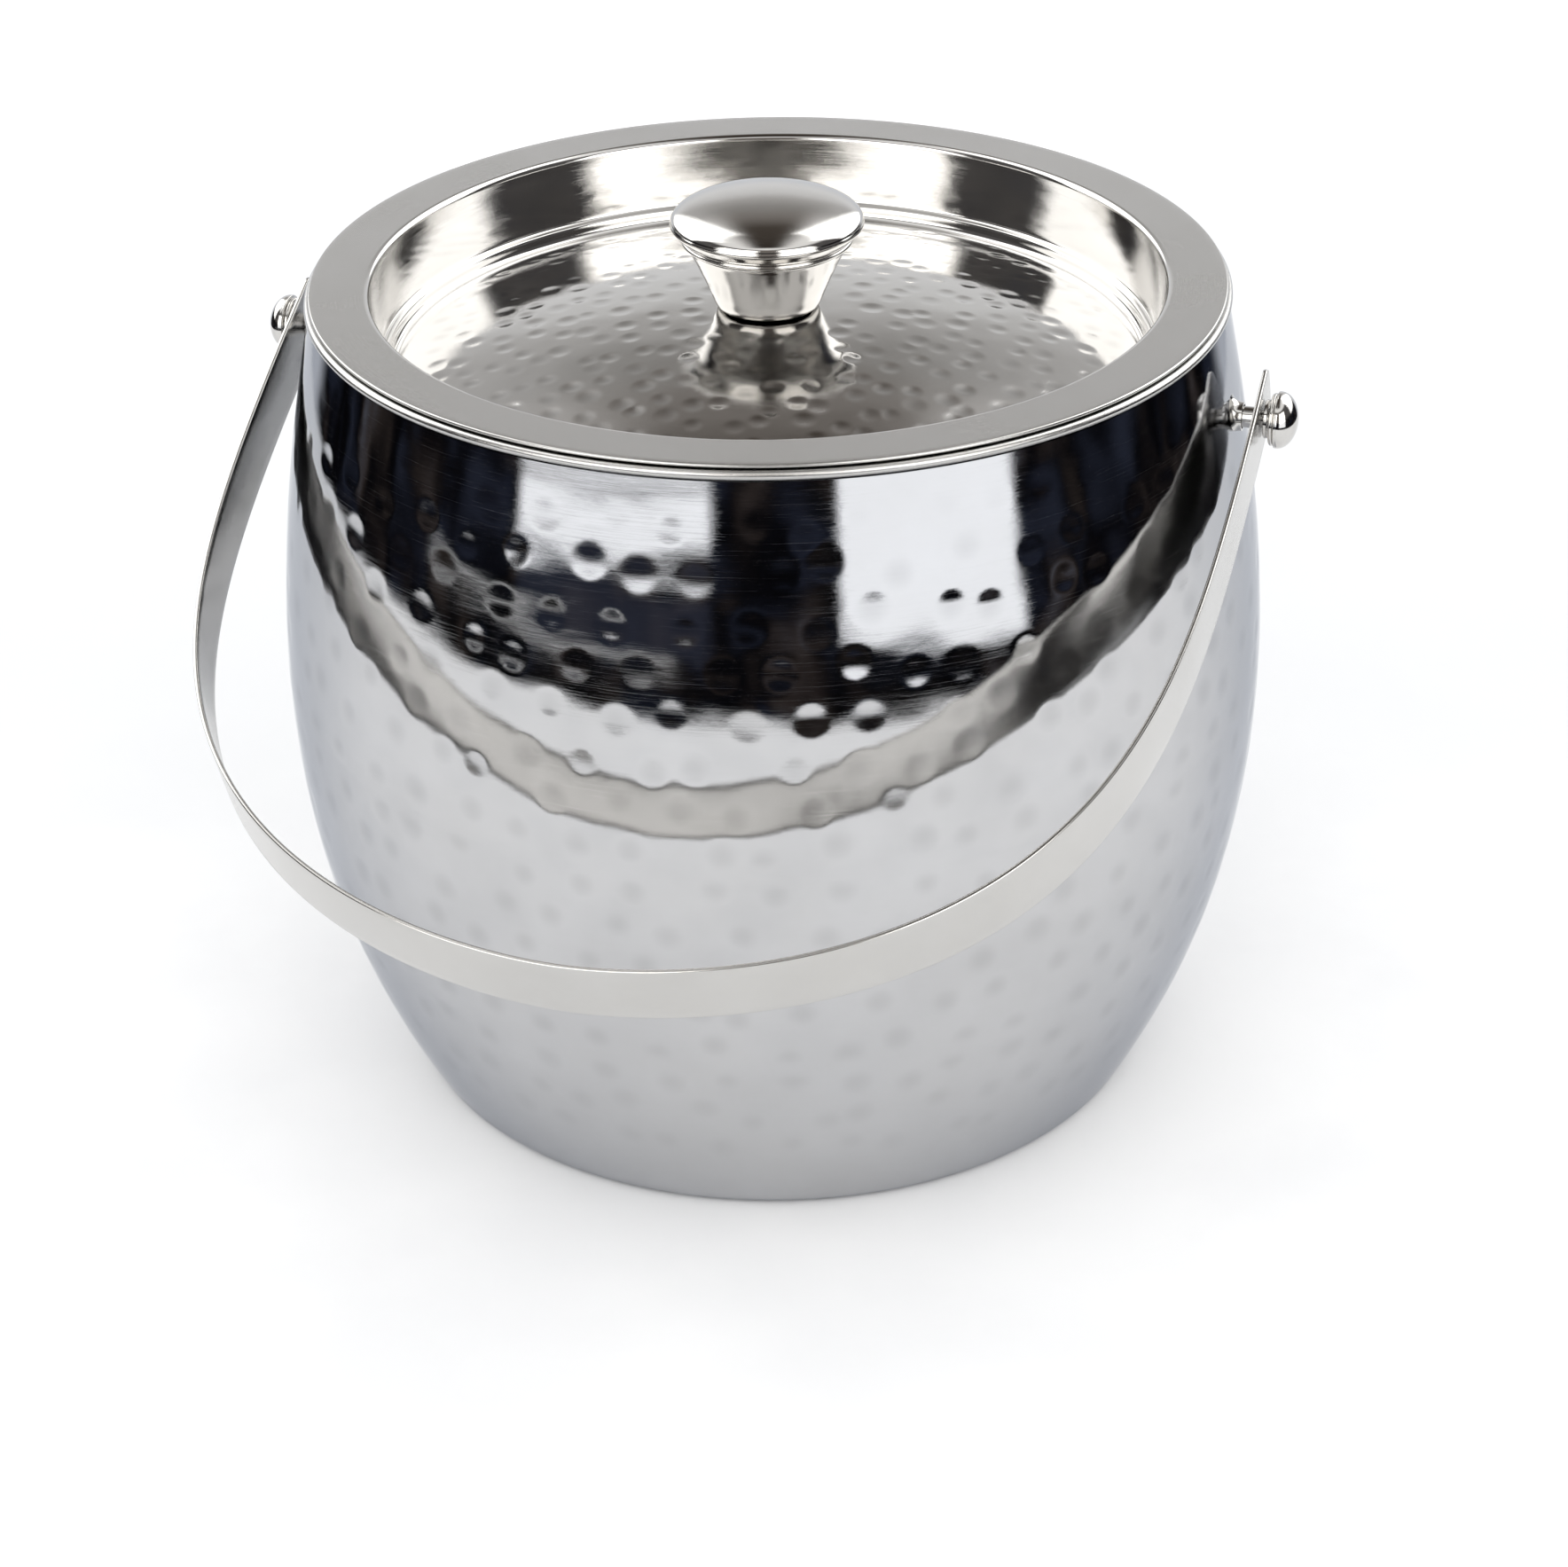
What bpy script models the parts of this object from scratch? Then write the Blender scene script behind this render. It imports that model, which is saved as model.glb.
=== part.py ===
"""Double-walled steel ice bucket with a lift-off lid, a turned knob and a swinging strap handle.

Metres, +Z up. The origin is the centre of the face that it stands on. The handle turns about an axis
along X, and the front of the bucket, where the handle hangs down, faces -Y.
"""

import math

import bmesh
import bpy
from mathutils import Vector

# ---------------------------------------------------------------- driving dimensions
LID_RADIUS = 0.0860
LID_TOP = 0.16065
SHELL_SHEET = 0.0008
PAN_SHEET = 0.0007
GAP = 0.0003

# The body's wall is one cubic from the foot to the lip. A slope is radius gained for each metre of rise.
BODY_HEIGHT = 0.1575
BODY_FOOT_RADIUS = 0.0728
BODY_FOOT_SLOPE = 0.571
BODY_LIP_RADIUS = 0.0861
BODY_LIP_SLOPE = -0.201
FOOT_OPENING = 0.0640
FOOT_RADIUS = 0.0030

RIM_TOP = LID_TOP - PAN_SHEET - GAP
RIM_BEAD_RADIUS = 0.0009
RIM_BEAD_REACH = 0.0869
LINER_RADIUS = 0.0770
LINER_STRAIGHT = 0.1340
LINER_FOOT_RADIUS = 0.0715
LINER_FLOOR = 0.0140
LINER_CORNER = 0.0140

RECESS_RADIUS = 0.0746
RECESS_FOOT_RADIUS = 0.0734
RECESS_LEDGE = 0.1470
GROOVE_RADIUS = 0.0705
GROOVE_FLOOR = 0.1446
DOME_TOP = 0.1544
LID_BOTTOM = 0.1386
LID_PLUG_RADIUS = 0.0763

KNOB_SEAT = DOME_TOP + GAP
KNOB_CAP_RADIUS = 0.0182
KNOB_TOP = 0.1765
SCREW_RADIUS = 0.0020
SCREW_CLEARANCE = 0.0023

PIVOT_HEIGHT = 0.1412
HANDLE_HALF_SPAN = 0.0942
HANDLE_REACH = 0.1435
HANDLE_WIDTH = 0.0138
HANDLE_SHEET = 0.0010
HANDLE_TAIL = 0.0071
HANDLE_DROOP = math.radians(24.5)

STUD_RADIUS = 0.0020
THREAD_RADIUS = 0.0016
CAP_NUT_RADIUS = 0.0053

# Facets around each kind of round piece.
ROUND_BIG = 56
ROUND_MIDDLE = 44
ROUND_KNOB = 32
ROUND_SMALL = 16


def clear_scene():
    for obj in list(bpy.data.objects):
        bpy.data.objects.remove(obj, do_unlink=True)


def steel(name, colour, roughness):
    material = bpy.data.materials.new(name)
    material.use_nodes = True
    shader = material.node_tree.nodes["Principled BSDF"]
    shader.inputs["Base Color"].default_value = (*colour, 1.0)
    shader.inputs["Metallic"].default_value = 1.0
    shader.inputs["Roughness"].default_value = roughness
    return material


def link(name, mesh, material, smooth_angle=35.0):
    mesh.materials.append(material)
    mesh.shade_smooth()
    mesh.set_sharp_from_angle(angle=math.radians(smooth_angle))
    obj = bpy.data.objects.new(name, mesh)
    bpy.context.scene.collection.objects.link(obj)
    return obj


def turned(name, profile, material, facets, axis="Z"):
    """Turns a closed profile of (distance along the axis, radius) points into one closed solid."""
    bm = bmesh.new()
    points = [bm.verts.new((radius, 0.0, along)) for along, radius in profile]
    edges = []
    for first, second in zip(points, points[1:] + points[:1]):
        if first.co.x > 0.0 or second.co.x > 0.0:
            edges.append(bm.edges.new((first, second)))
    bmesh.ops.spin(
        bm,
        geom=points + edges,
        cent=(0.0, 0.0, 0.0),
        axis=(0.0, 0.0, 1.0),
        angle=math.tau,
        steps=facets,
        use_merge=True,
    )
    bmesh.ops.remove_doubles(bm, verts=bm.verts, dist=1e-6)
    bmesh.ops.recalc_face_normals(bm, faces=bm.faces)
    if axis == "X":
        turn = Vector((0.0, 0.0, 1.0)).rotation_difference(Vector((1.0, 0.0, 0.0)))
        bmesh.ops.rotate(bm, verts=bm.verts, cent=(0.0, 0.0, 0.0), matrix=turn.to_matrix())
    if axis == "-X":
        turn = Vector((0.0, 0.0, 1.0)).rotation_difference(Vector((-1.0, 0.0, 0.0)))
        bmesh.ops.rotate(bm, verts=bm.verts, cent=(0.0, 0.0, 0.0), matrix=turn.to_matrix())
    mesh = bpy.data.meshes.new(name)
    bm.to_mesh(mesh)
    bm.free()
    return link(name, mesh, material)


def arc(centre, radius, start, end, steps):
    """Points (along, radius) of an arc in the profile plane; angles in degrees from the outward direction."""
    along, out = centre
    angles = [math.radians(start + (end - start) * i / steps) for i in range(steps + 1)]
    return [(along + radius * math.sin(a), out + radius * math.cos(a)) for a in angles]


def body_radius(height):
    """Outside radius of the body at a height: a Hermite cubic between the foot and the lip."""
    t = min(max(height / BODY_HEIGHT, 0.0), 1.0)
    foot = (2 * t**3 - 3 * t**2 + 1) * BODY_FOOT_RADIUS
    foot += (t**3 - 2 * t**2 + t) * BODY_HEIGHT * BODY_FOOT_SLOPE
    lip = (3 * t**2 - 2 * t**3) * BODY_LIP_RADIUS
    lip += (t**3 - t**2) * BODY_HEIGHT * BODY_LIP_SLOPE
    return foot + lip


def body_wall(inset, low, high, steps):
    """(height, radius) points up the body's wall, moved inwards by inset at right angles to it."""
    points = []
    for i in range(steps + 1):
        height = low + (high - low) * i / steps
        rise = 0.0005
        slope = (body_radius(height + rise) - body_radius(height - rise)) / (2 * rise)
        length = math.hypot(1.0, slope)
        points.append((height + inset * slope / length, body_radius(height) - inset / length))
    return points


def helper(obj):
    obj.hide_render = True
    obj.display_type = "WIRE"
    return obj


def cut(obj, cutter, name):
    modifier = obj.modifiers.new(name, "BOOLEAN")
    modifier.operation = "DIFFERENCE"
    modifier.solver = "EXACT"
    modifier.object = cutter


# ---------------------------------------------------------------- bucket
def outer_shell(material, stud_cutters):
    high = BODY_HEIGHT
    low = FOOT_RADIUS
    outside = body_wall(0.0, low, high, 11)
    inside = body_wall(SHELL_SHEET, low, high, 8)
    foot_out = body_radius(low)
    sheet = SHELL_SHEET
    foot = [
        (0.0, FOOT_OPENING),
        (0.0, foot_out - FOOT_RADIUS - 0.0006),
        (0.0007, foot_out - 0.0015),
    ]
    foot_inside = [
        (sheet + 0.0007, foot_out - 0.0025),
        (sheet, foot_out - FOOT_RADIUS - 0.0012),
        (sheet, FOOT_OPENING),
    ]
    profile = foot + outside + inside[::-1] + foot_inside
    shell = turned("outer_shell", profile, material, ROUND_BIG)
    for side, cutter in stud_cutters.items():
        cut(shell, cutter, "stud_hole_" + side)
    return shell


def inner_liner(material):
    """The liner, with its top edge turned out flat and rolled over the top of the outer shell."""
    sheet = PAN_SHEET
    bead = RIM_BEAD_RADIUS
    rim = [(RIM_TOP, LINER_RADIUS + 0.0012)]
    rim += arc((RIM_TOP - bead, RIM_BEAD_REACH - bead), bead, 90.0, -90.0, 5)
    rim += [(RIM_TOP - sheet, RIM_BEAD_REACH - 2.4 * bead)]
    wall_out = [
        (RIM_TOP - sheet, LINER_RADIUS + sheet + 0.0010),
        (RIM_TOP - sheet - 0.0010, LINER_RADIUS + sheet),
        (LINER_STRAIGHT, LINER_RADIUS + sheet),
    ]
    corner_out = LINER_CORNER + sheet
    corner_centre = (LINER_FLOOR + LINER_CORNER, LINER_FOOT_RADIUS - LINER_CORNER)
    wall_out += arc(corner_centre, corner_out, 0.0, -90.0, 4)
    wall_out += [(LINER_FLOOR - sheet, 0.0)]
    wall_in = [(LINER_FLOOR, 0.0)]
    wall_in += arc(corner_centre, LINER_CORNER, -90.0, 0.0, 4)
    wall_in += [(LINER_STRAIGHT, LINER_RADIUS), (RIM_TOP - 0.0012, LINER_RADIUS)]
    return turned("inner_liner", rim + wall_out + wall_in, material, ROUND_MIDDLE)


def base_plate(material):
    """A pressed disc: its middle is flush with the foot, and its edge sits inside on the foot's lip."""
    sheet = SHELL_SHEET
    lip = SHELL_SHEET + GAP
    reach = 0.0690
    step_out = FOOT_OPENING - GAP
    profile = [
        (0.0, 0.0),
        (0.0, step_out - 0.0006),
        (0.0006, step_out),
        (lip, step_out),
        (lip, reach),
        (lip + sheet, reach),
        (lip + sheet, step_out - sheet),
        (sheet, step_out - sheet - 0.0009),
        (sheet, 0.0),
    ]
    return turned("base_plate", profile, material, ROUND_MIDDLE)


# ---------------------------------------------------------------- lid
def dome_height(radius):
    """Height of the lid's raised floor: flat under the knob, falling to the groove."""
    flat = 0.0105
    if radius <= flat:
        return DOME_TOP
    share = (radius - flat) / (GROOVE_RADIUS - flat)
    return DOME_TOP - (DOME_TOP - GROOVE_FLOOR) * share**1.75


def lid_pan(material):
    sheet = PAN_SHEET
    edge = sheet / 2
    steps = 5
    radii = [0.0105 + (GROOVE_RADIUS - 0.0105) * i / steps for i in range(steps + 1)]
    top = [(DOME_TOP, SCREW_CLEARANCE)] + [(dome_height(r), r) for r in radii]
    top += [
        (GROOVE_FLOOR + 0.0003, GROOVE_RADIUS + 0.0010),
        (RECESS_LEDGE - 0.0004, GROOVE_RADIUS + 0.0014),
        (RECESS_LEDGE, GROOVE_RADIUS + 0.0018),
        (RECESS_LEDGE + 0.0002, RECESS_FOOT_RADIUS - 0.0004),
        (RECESS_LEDGE + 0.0010, RECESS_FOOT_RADIUS),
    ]
    top += arc((LID_TOP - 0.0012, RECESS_RADIUS + 0.0012), 0.0012, 180.0, 90.0, 3)
    rim = arc((LID_TOP - edge, LID_RADIUS - edge), edge, 90.0, -90.0, 4)
    under = [
        (LID_TOP - sheet, RECESS_RADIUS + sheet + 0.0006),
        (LID_TOP - sheet - 0.0006, RECESS_RADIUS + sheet),
        (RECESS_LEDGE, RECESS_FOOT_RADIUS + sheet),
        (RECESS_LEDGE - 0.0007, RECESS_FOOT_RADIUS - 0.0002),
        (GROOVE_FLOOR - 0.0003, GROOVE_RADIUS + 0.0017),
        (GROOVE_FLOOR - sheet, GROOVE_RADIUS + 0.0008),
    ]
    under += [(dome_height(r) - sheet, r) for r in radii[::-1]]
    under += [(DOME_TOP - sheet, SCREW_CLEARANCE)]
    return turned("lid_pan", top + rim + under, material, ROUND_BIG)


def lid_underside(material):
    sheet = PAN_SHEET
    high = 0.1583
    corner = 0.0030
    centre = (LID_BOTTOM + corner, LID_PLUG_RADIUS - corner)
    profile = [(high, LID_PLUG_RADIUS)]
    profile += arc(centre, corner, 0.0, -90.0, 3)
    profile += [(LID_BOTTOM, 0.0), (LID_BOTTOM + sheet, 0.0)]
    profile += arc(centre, corner - sheet, -90.0, 0.0, 3)
    profile += [(high, LID_PLUG_RADIUS - sheet)]
    return turned("lid_underside", profile, material, ROUND_MIDDLE)


def knob_stem(material):
    top = 0.1672
    profile = [
        (KNOB_SEAT, SCREW_CLEARANCE),
        (KNOB_SEAT, 0.0088),
        (KNOB_SEAT + 0.0004, 0.0097),
        (KNOB_SEAT + 0.0014, 0.0103),
        (KNOB_SEAT + 0.0034, 0.0110),
        (KNOB_SEAT + 0.0064, 0.0123),
        (KNOB_SEAT + 0.0096, 0.0138),
        (KNOB_SEAT + 0.0116, 0.0148),
        (top, 0.0153),
        (top, SCREW_CLEARANCE),
    ]
    return turned("knob_stem", profile, material, ROUND_KNOB)


def knob_cap(material):
    low = 0.1672 + GAP
    profile = [
        (0.1724, 0.0),
        (0.1724, SCREW_CLEARANCE),
        (low, SCREW_CLEARANCE),
        (low, 0.0157),
        (low + 0.0005, 0.0162),
        (low + 0.0010, 0.0159),
        (low + 0.0018, 0.0168),
        (0.1706, KNOB_CAP_RADIUS - 0.0002),
        (0.1711, KNOB_CAP_RADIUS),
        (0.1716, KNOB_CAP_RADIUS - 0.0002),
    ]
    crown = 0.1716
    for i in range(1, 6):
        angle = math.radians(90.0 * i / 6)
        reach = (KNOB_CAP_RADIUS - 0.0002) * math.cos(angle)
        profile.append((crown + (KNOB_TOP - crown) * math.sin(angle) ** 1.15, reach))
    profile.append((KNOB_TOP, 0.0))
    return turned("knob_cap", profile, material, ROUND_KNOB)


def knob_fixings(material):
    under = DOME_TOP - PAN_SHEET - GAP
    washer = [
        (under, SCREW_CLEARANCE),
        (under, 0.0060),
        (under - 0.0010, 0.0060),
        (under - 0.0010, SCREW_CLEARANCE),
    ]
    turned("knob_washer", washer, material, ROUND_SMALL)
    head = under - 0.0010 - GAP
    screw = [
        (head - 0.0022, 0.0),
        (head - 0.0022, 0.0028),
        (head - 0.0014, 0.0038),
        (head, 0.0040),
        (head, SCREW_RADIUS),
        (0.1719, SCREW_RADIUS),
        (0.1721, 0.0),
    ]
    turned("knob_screw", screw, material, ROUND_SMALL)


# ---------------------------------------------------------------- handle
def handle_point(share):
    """A point of the strap's middle line: (across, reach) for share 0 at one stud to 1 at the other."""
    angle = math.pi * share
    across = math.copysign(abs(math.cos(angle)) ** 1.072, math.cos(angle))
    across *= HANDLE_HALF_SPAN * (1.0 + 0.49 * math.sin(angle) ** 2)
    return across, HANDLE_REACH * math.sin(angle) ** 1.10


def handle_line():
    """The strap's middle line with its straight tails, as (across, reach, width) stations."""
    half = HANDLE_WIDTH / 2
    corner = 0.0022
    tail = []
    for back, width in ((0.0, half - corner), (0.3, half - 0.55 * corner), (1.0, half)):
        tail.append((-HANDLE_TAIL + corner * back, width))
    tail += [(-0.0030, half), (0.0030, half)]
    line = [(HANDLE_HALF_SPAN, reach, width) for reach, width in tail]
    steps = 44
    for i in range(1, steps):
        share = 0.5 - 0.5 * math.cos(math.pi * i / steps)
        share = 0.45 * share + 0.55 * i / steps
        across, reach = handle_point(share)
        if reach > 0.0060:
            line.append((across, reach, half))
    line += [(-HANDLE_HALF_SPAN, reach, width) for reach, width in tail[::-1]]
    return line


def handle_strap(material, cutters):
    """A flat strap bent into a hoop. Its own frame lies in the hoop's plane, with the pivots along X."""
    bm = bmesh.new()
    line = handle_line()
    rows = []
    for across, reach, width in line:
        rows.append([bm.verts.new((across, -reach, side * width)) for side in (-1.0, 0.0, 1.0)])
    for low, high in zip(rows, rows[1:]):
        for i in range(2):
            bm.faces.new((low[i], low[i + 1], high[i + 1], high[i]))
    bmesh.ops.recalc_face_normals(bm, faces=bm.faces)
    mesh = bpy.data.meshes.new("handle_strap")
    bm.to_mesh(mesh)
    bm.free()
    strap = link("handle_strap", mesh, material, smooth_angle=50.0)
    strap.location = (0.0, 0.0, PIVOT_HEIGHT)
    strap.rotation_euler = (HANDLE_DROOP, 0.0, 0.0)
    solid = strap.modifiers.new("thickness", "SOLIDIFY")
    solid.thickness = HANDLE_SHEET
    solid.offset = 0.0
    for side, cutter in cutters.items():
        cut(strap, cutter, "pivot_hole_" + side)
    return strap


def round_cutter(name, material, sign, low, high, radius):
    """A plain cylinder along the handle's axis, from low to high on one side of the bucket."""
    profile = [(low, 0.0), (low, radius), (high, radius), (high, 0.0)]
    axis = "X" if sign > 0 else "-X"
    cutter = turned(name, profile, material, ROUND_SMALL, axis=axis)
    cutter.location = (0.0, 0.0, PIVOT_HEIGHT)
    return helper(cutter)


# ---------------------------------------------------------------- pivots
def on_pivot(name, profile, material, sign, facets=ROUND_SMALL):
    piece = turned(name, profile, material, facets, axis="X" if sign > 0 else "-X")
    piece.location = (0.0, 0.0, PIVOT_HEIGHT)
    return piece


def pivot_pieces(side, sign, material, body_form):
    strap_in = HANDLE_HALF_SPAN - HANDLE_SHEET / 2
    strap_out = HANDLE_HALF_SPAN + HANDLE_SHEET / 2
    hole = THREAD_RADIUS + GAP

    shoulder = strap_in - GAP
    stud = [
        (0.0808, 0.0),
        (0.0808, THREAD_RADIUS),
        (0.0868, THREAD_RADIUS),
        (0.0868, STUD_RADIUS),
        (shoulder, STUD_RADIUS),
        (shoulder, THREAD_RADIUS),
        (strap_out + 0.0040, THREAD_RADIUS),
        (strap_out + 0.0043, 0.0),
    ]
    on_pivot("pivot_stud_" + side, stud, material, sign)

    collar = [
        (0.0875, STUD_RADIUS + GAP),
        (0.0875, 0.0043),
        (0.0893, 0.0043),
        (0.0897, 0.0039),
        (0.0904, 0.0030),
        (0.0909, 0.0027),
        (0.0909, STUD_RADIUS + GAP),
    ]
    cut(on_pivot("stud_collar_" + side, collar, material, sign), body_form, "seat")

    backing = [(0.0856, hole), (0.0864, hole), (0.0864, 0.0060), (0.0856, 0.0060)]
    on_pivot("backing_washer_" + side, backing, material, sign)

    nut = [(0.0822, hole), (0.0853, hole), (0.0853, 0.0040), (0.0822, 0.0040)]
    on_pivot("lock_nut_" + side, nut, material, sign, facets=6)

    washer = [
        (strap_out + GAP, hole),
        (strap_out + 0.0011, hole),
        (strap_out + 0.0011, 0.0036),
        (strap_out + GAP, 0.0036),
    ]
    on_pivot("outer_washer_" + side, washer, material, sign)

    seat = strap_out + 0.0011 + GAP
    cap = [
        (seat + 0.0034, 0.0),
        (seat + 0.0034, hole),
        (seat, hole),
        (seat, 0.0045),
        (seat + 0.0004, 0.0049),
        (seat + 0.0010, 0.0049),
        (seat + 0.0012, CAP_NUT_RADIUS),
    ]
    for i in range(1, 6):
        angle = math.radians(90.0 * i / 6)
        cap.append((seat + 0.0014 + 0.0036 * math.sin(angle), CAP_NUT_RADIUS * math.cos(angle)))
    cap.append((seat + 0.0050, 0.0))
    on_pivot("cap_nut_" + side, cap, material, sign)


def main():
    clear_scene()
    hammered = steel("hammered_steel", (0.62, 0.62, 0.63), 0.07)
    polished = steel("polished_steel", (0.66, 0.66, 0.67), 0.10)
    satin = steel("satin_steel", (0.58, 0.58, 0.59), 0.22)
    turned_steel = steel("turned_steel", (0.64, 0.63, 0.62), 0.14)
    plain = steel("plain_steel", (0.50, 0.50, 0.51), 0.35)
    sides = {"right": 1.0, "left": -1.0}

    shell_cutters = {}
    strap_cutters = {}
    for side, sign in sides.items():
        shell_cutters[side] = round_cutter(
            "shell_cutter_" + side, plain, sign, 0.0850, 0.0920, STUD_RADIUS + GAP
        )
        strap_cutters[side] = round_cutter(
            "strap_cutter_" + side, plain, sign, 0.0920, 0.0960, THREAD_RADIUS + GAP
        )

    wall = body_wall(-GAP, 0.1200, BODY_HEIGHT - 0.0020, 6)
    form_profile = [(wall[0][0], 0.0)] + wall + [(wall[-1][0], 0.0)]
    body_form = helper(turned("body_form", form_profile, plain, ROUND_BIG))

    outer_shell(hammered, shell_cutters)
    inner_liner(polished)
    base_plate(plain)
    lid_pan(polished)
    lid_underside(satin)
    knob_stem(turned_steel)
    knob_cap(turned_steel)
    knob_fixings(plain)
    handle_strap(satin, strap_cutters)
    for side, sign in sides.items():
        pivot_pieces(side, sign, turned_steel, body_form)


main()
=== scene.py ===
"""Looks of the hammered steel ice bucket: its wall, liner, lid, knob, strap and pivots, with their steels.

Metres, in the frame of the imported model: +Z up, the bucket stands on z = 0, the pivots lie along X
and the strap hangs down towards -Y.
"""

import math

import bpy
import numpy as np
from mathutils import Matrix, Vector


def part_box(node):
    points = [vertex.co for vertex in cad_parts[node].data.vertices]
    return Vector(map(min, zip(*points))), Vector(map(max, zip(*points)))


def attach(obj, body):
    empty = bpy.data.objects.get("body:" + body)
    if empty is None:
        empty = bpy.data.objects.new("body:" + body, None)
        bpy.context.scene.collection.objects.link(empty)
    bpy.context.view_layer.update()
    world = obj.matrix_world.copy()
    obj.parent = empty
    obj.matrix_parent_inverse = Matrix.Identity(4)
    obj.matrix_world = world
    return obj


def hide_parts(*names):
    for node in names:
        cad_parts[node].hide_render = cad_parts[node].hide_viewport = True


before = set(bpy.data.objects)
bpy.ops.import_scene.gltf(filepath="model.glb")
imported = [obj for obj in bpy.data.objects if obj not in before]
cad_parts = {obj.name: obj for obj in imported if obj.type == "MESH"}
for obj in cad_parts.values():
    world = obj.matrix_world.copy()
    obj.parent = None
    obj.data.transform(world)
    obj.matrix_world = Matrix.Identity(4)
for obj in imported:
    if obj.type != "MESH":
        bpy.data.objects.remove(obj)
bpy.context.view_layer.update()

MM = 0.001


def low(node):
    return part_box(node)[0]


def high(node):
    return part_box(node)[1]


# ---------------------------------------------------------------- sizes from the frame
BODY_HEIGHT = high("outer_shell").z
RIM_TOP = high("inner_liner").z
RIM_REACH = high("inner_liner").x
LID_TOP = high("lid_pan").z
LID_RADIUS = high("lid_pan").x
PLUG_BOTTOM = low("lid_underside").z
PLUG_TOP = high("lid_underside").z
PLUG_RADIUS = high("lid_underside").x
KNOB_SEAT = low("knob_stem").z
KNOB_JOINT = low("knob_cap").z
KNOB_TOP = high("knob_cap").z
KNOB_RADIUS = high("knob_cap").x
PIVOT_HEIGHT = (low("cap_nut_right").z + high("cap_nut_right").z) / 2
NUT_SEAT = low("cap_nut_right").x
NUT_TIP = high("cap_nut_right").x
NUT_RADIUS = high("cap_nut_right").z - PIVOT_HEIGHT
WASHER_SEAT = low("outer_washer_right").x
WASHER_FACE = high("outer_washer_right").x
WASHER_RADIUS = high("outer_washer_right").z - PIVOT_HEIGHT
COLLAR_FACE = high("stud_collar_right").x
COLLAR_RADIUS = high("stud_collar_right").z - PIVOT_HEIGHT
STUD_INNER = low("pivot_stud_right").x
STUD_END = high("pivot_stud_right").x

# ---------------------------------------------------------------- sizes that the CAD keeps too
SHELL_SHEET = 0.8 * MM
PAN_SHEET = 0.7 * MM
BODY_FOOT_RADIUS = 72.8 * MM
BODY_FOOT_SLOPE = 0.571
BODY_LIP_RADIUS = 86.1 * MM
BODY_LIP_SLOPE = -0.201
FOOT_OPENING = 64.0 * MM
FOOT_ROLL = 3.0 * MM
RIM_BEAD = 0.9 * MM
LINER_RADIUS = 77.0 * MM
LINER_FOOT_RADIUS = 71.5 * MM
LINER_STRAIGHT = 134.0 * MM
LINER_FLOOR = 14.0 * MM
LINER_CORNER = 14.0 * MM
RECESS_RADIUS = 74.6 * MM
RECESS_FOOT_RADIUS = 73.4 * MM
RECESS_LEDGE = 147.0 * MM
LID_CORNER = 1.2 * MM
GROOVE_RADIUS = 70.5 * MM
GROOVE_FLOOR = 144.6 * MM
DOME_TOP = 154.4 * MM
DOME_FLAT = 10.5 * MM
SCREW_HOLE = 2.3 * MM
HANDLE_HALF_SPAN = 94.2 * MM
HANDLE_REACH = 143.5 * MM
HANDLE_WIDTH = 13.8 * MM
HANDLE_SHEET = 1.0 * MM
HANDLE_TAIL = 7.1 * MM
HANDLE_DROOP = math.radians(24.5)
STUD_RADIUS = 2.0 * MM
THREAD_RADIUS = 1.6 * MM

# ---------------------------------------------------------------- sizes of the finish
WALL_COLUMNS = 840
WALL_CELL = 0.70 * MM
WALL_SEAMS = (41.25 * MM, 84.75 * MM)
SEAM_FADE = 3.5 * MM
FOOT_PLAIN = 8 * MM
FOOT_FADE = 40 * MM
LIP_PLAIN = 3 * MM
LIP_FADE = 14 * MM
LID_COLUMNS = 640
LID_CELL = 0.52 * MM
ROUND_COLUMNS = 288
KNOB_COLUMNS = 192
SMALL_COLUMNS = 96

# ---------------------------------------------------------------- the camera's place
VIEW_AZIMUTH = 16.3
CAMERA_DISTANCE = 0.71733
CAMERA_HEIGHT = 0.44942
CAMERA_PITCH = 29.034
CAMERA_YAW = 0.1223
CAMERA_ROLL = -0.900
CAMERA_LENS = 93.94


# ---------------------------------------------------------------- outlines
def arc(centre, radius, start, end, steps):
    """(along, out) points of an arc; its angles are in degrees from the outward direction."""
    along, out = centre
    angles = [math.radians(start + (end - start) * i / steps) for i in range(steps + 1)]
    return [(along + radius * math.sin(a), out + radius * math.cos(a)) for a in angles]


def flowing(points, steps):
    """A Catmull-Rom curve through (along, out) points."""
    ends = [points[0]] + list(points) + [points[-1]]
    line = []
    for i in range(len(points) - 1):
        p0, p1, p2, p3 = (Vector(p) for p in ends[i : i + 4])
        for k in range(steps):
            t = k / steps
            spot = 2 * p1 + (p2 - p0) * t + (2 * p0 - 5 * p1 + 4 * p2 - p3) * t**2
            spot += (3 * p1 - p0 - 3 * p2 + p3) * t**3
            line.append(tuple(spot / 2))
    line.append(points[-1])
    return line


def straight(start, end, cell):
    """Points from start to end, about a cell apart, without the end itself."""
    start, end = Vector(start), Vector(end)
    count = max(1, round((end - start).length / cell))
    return [tuple(start.lerp(end, i / count)) for i in range(count)]


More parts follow.
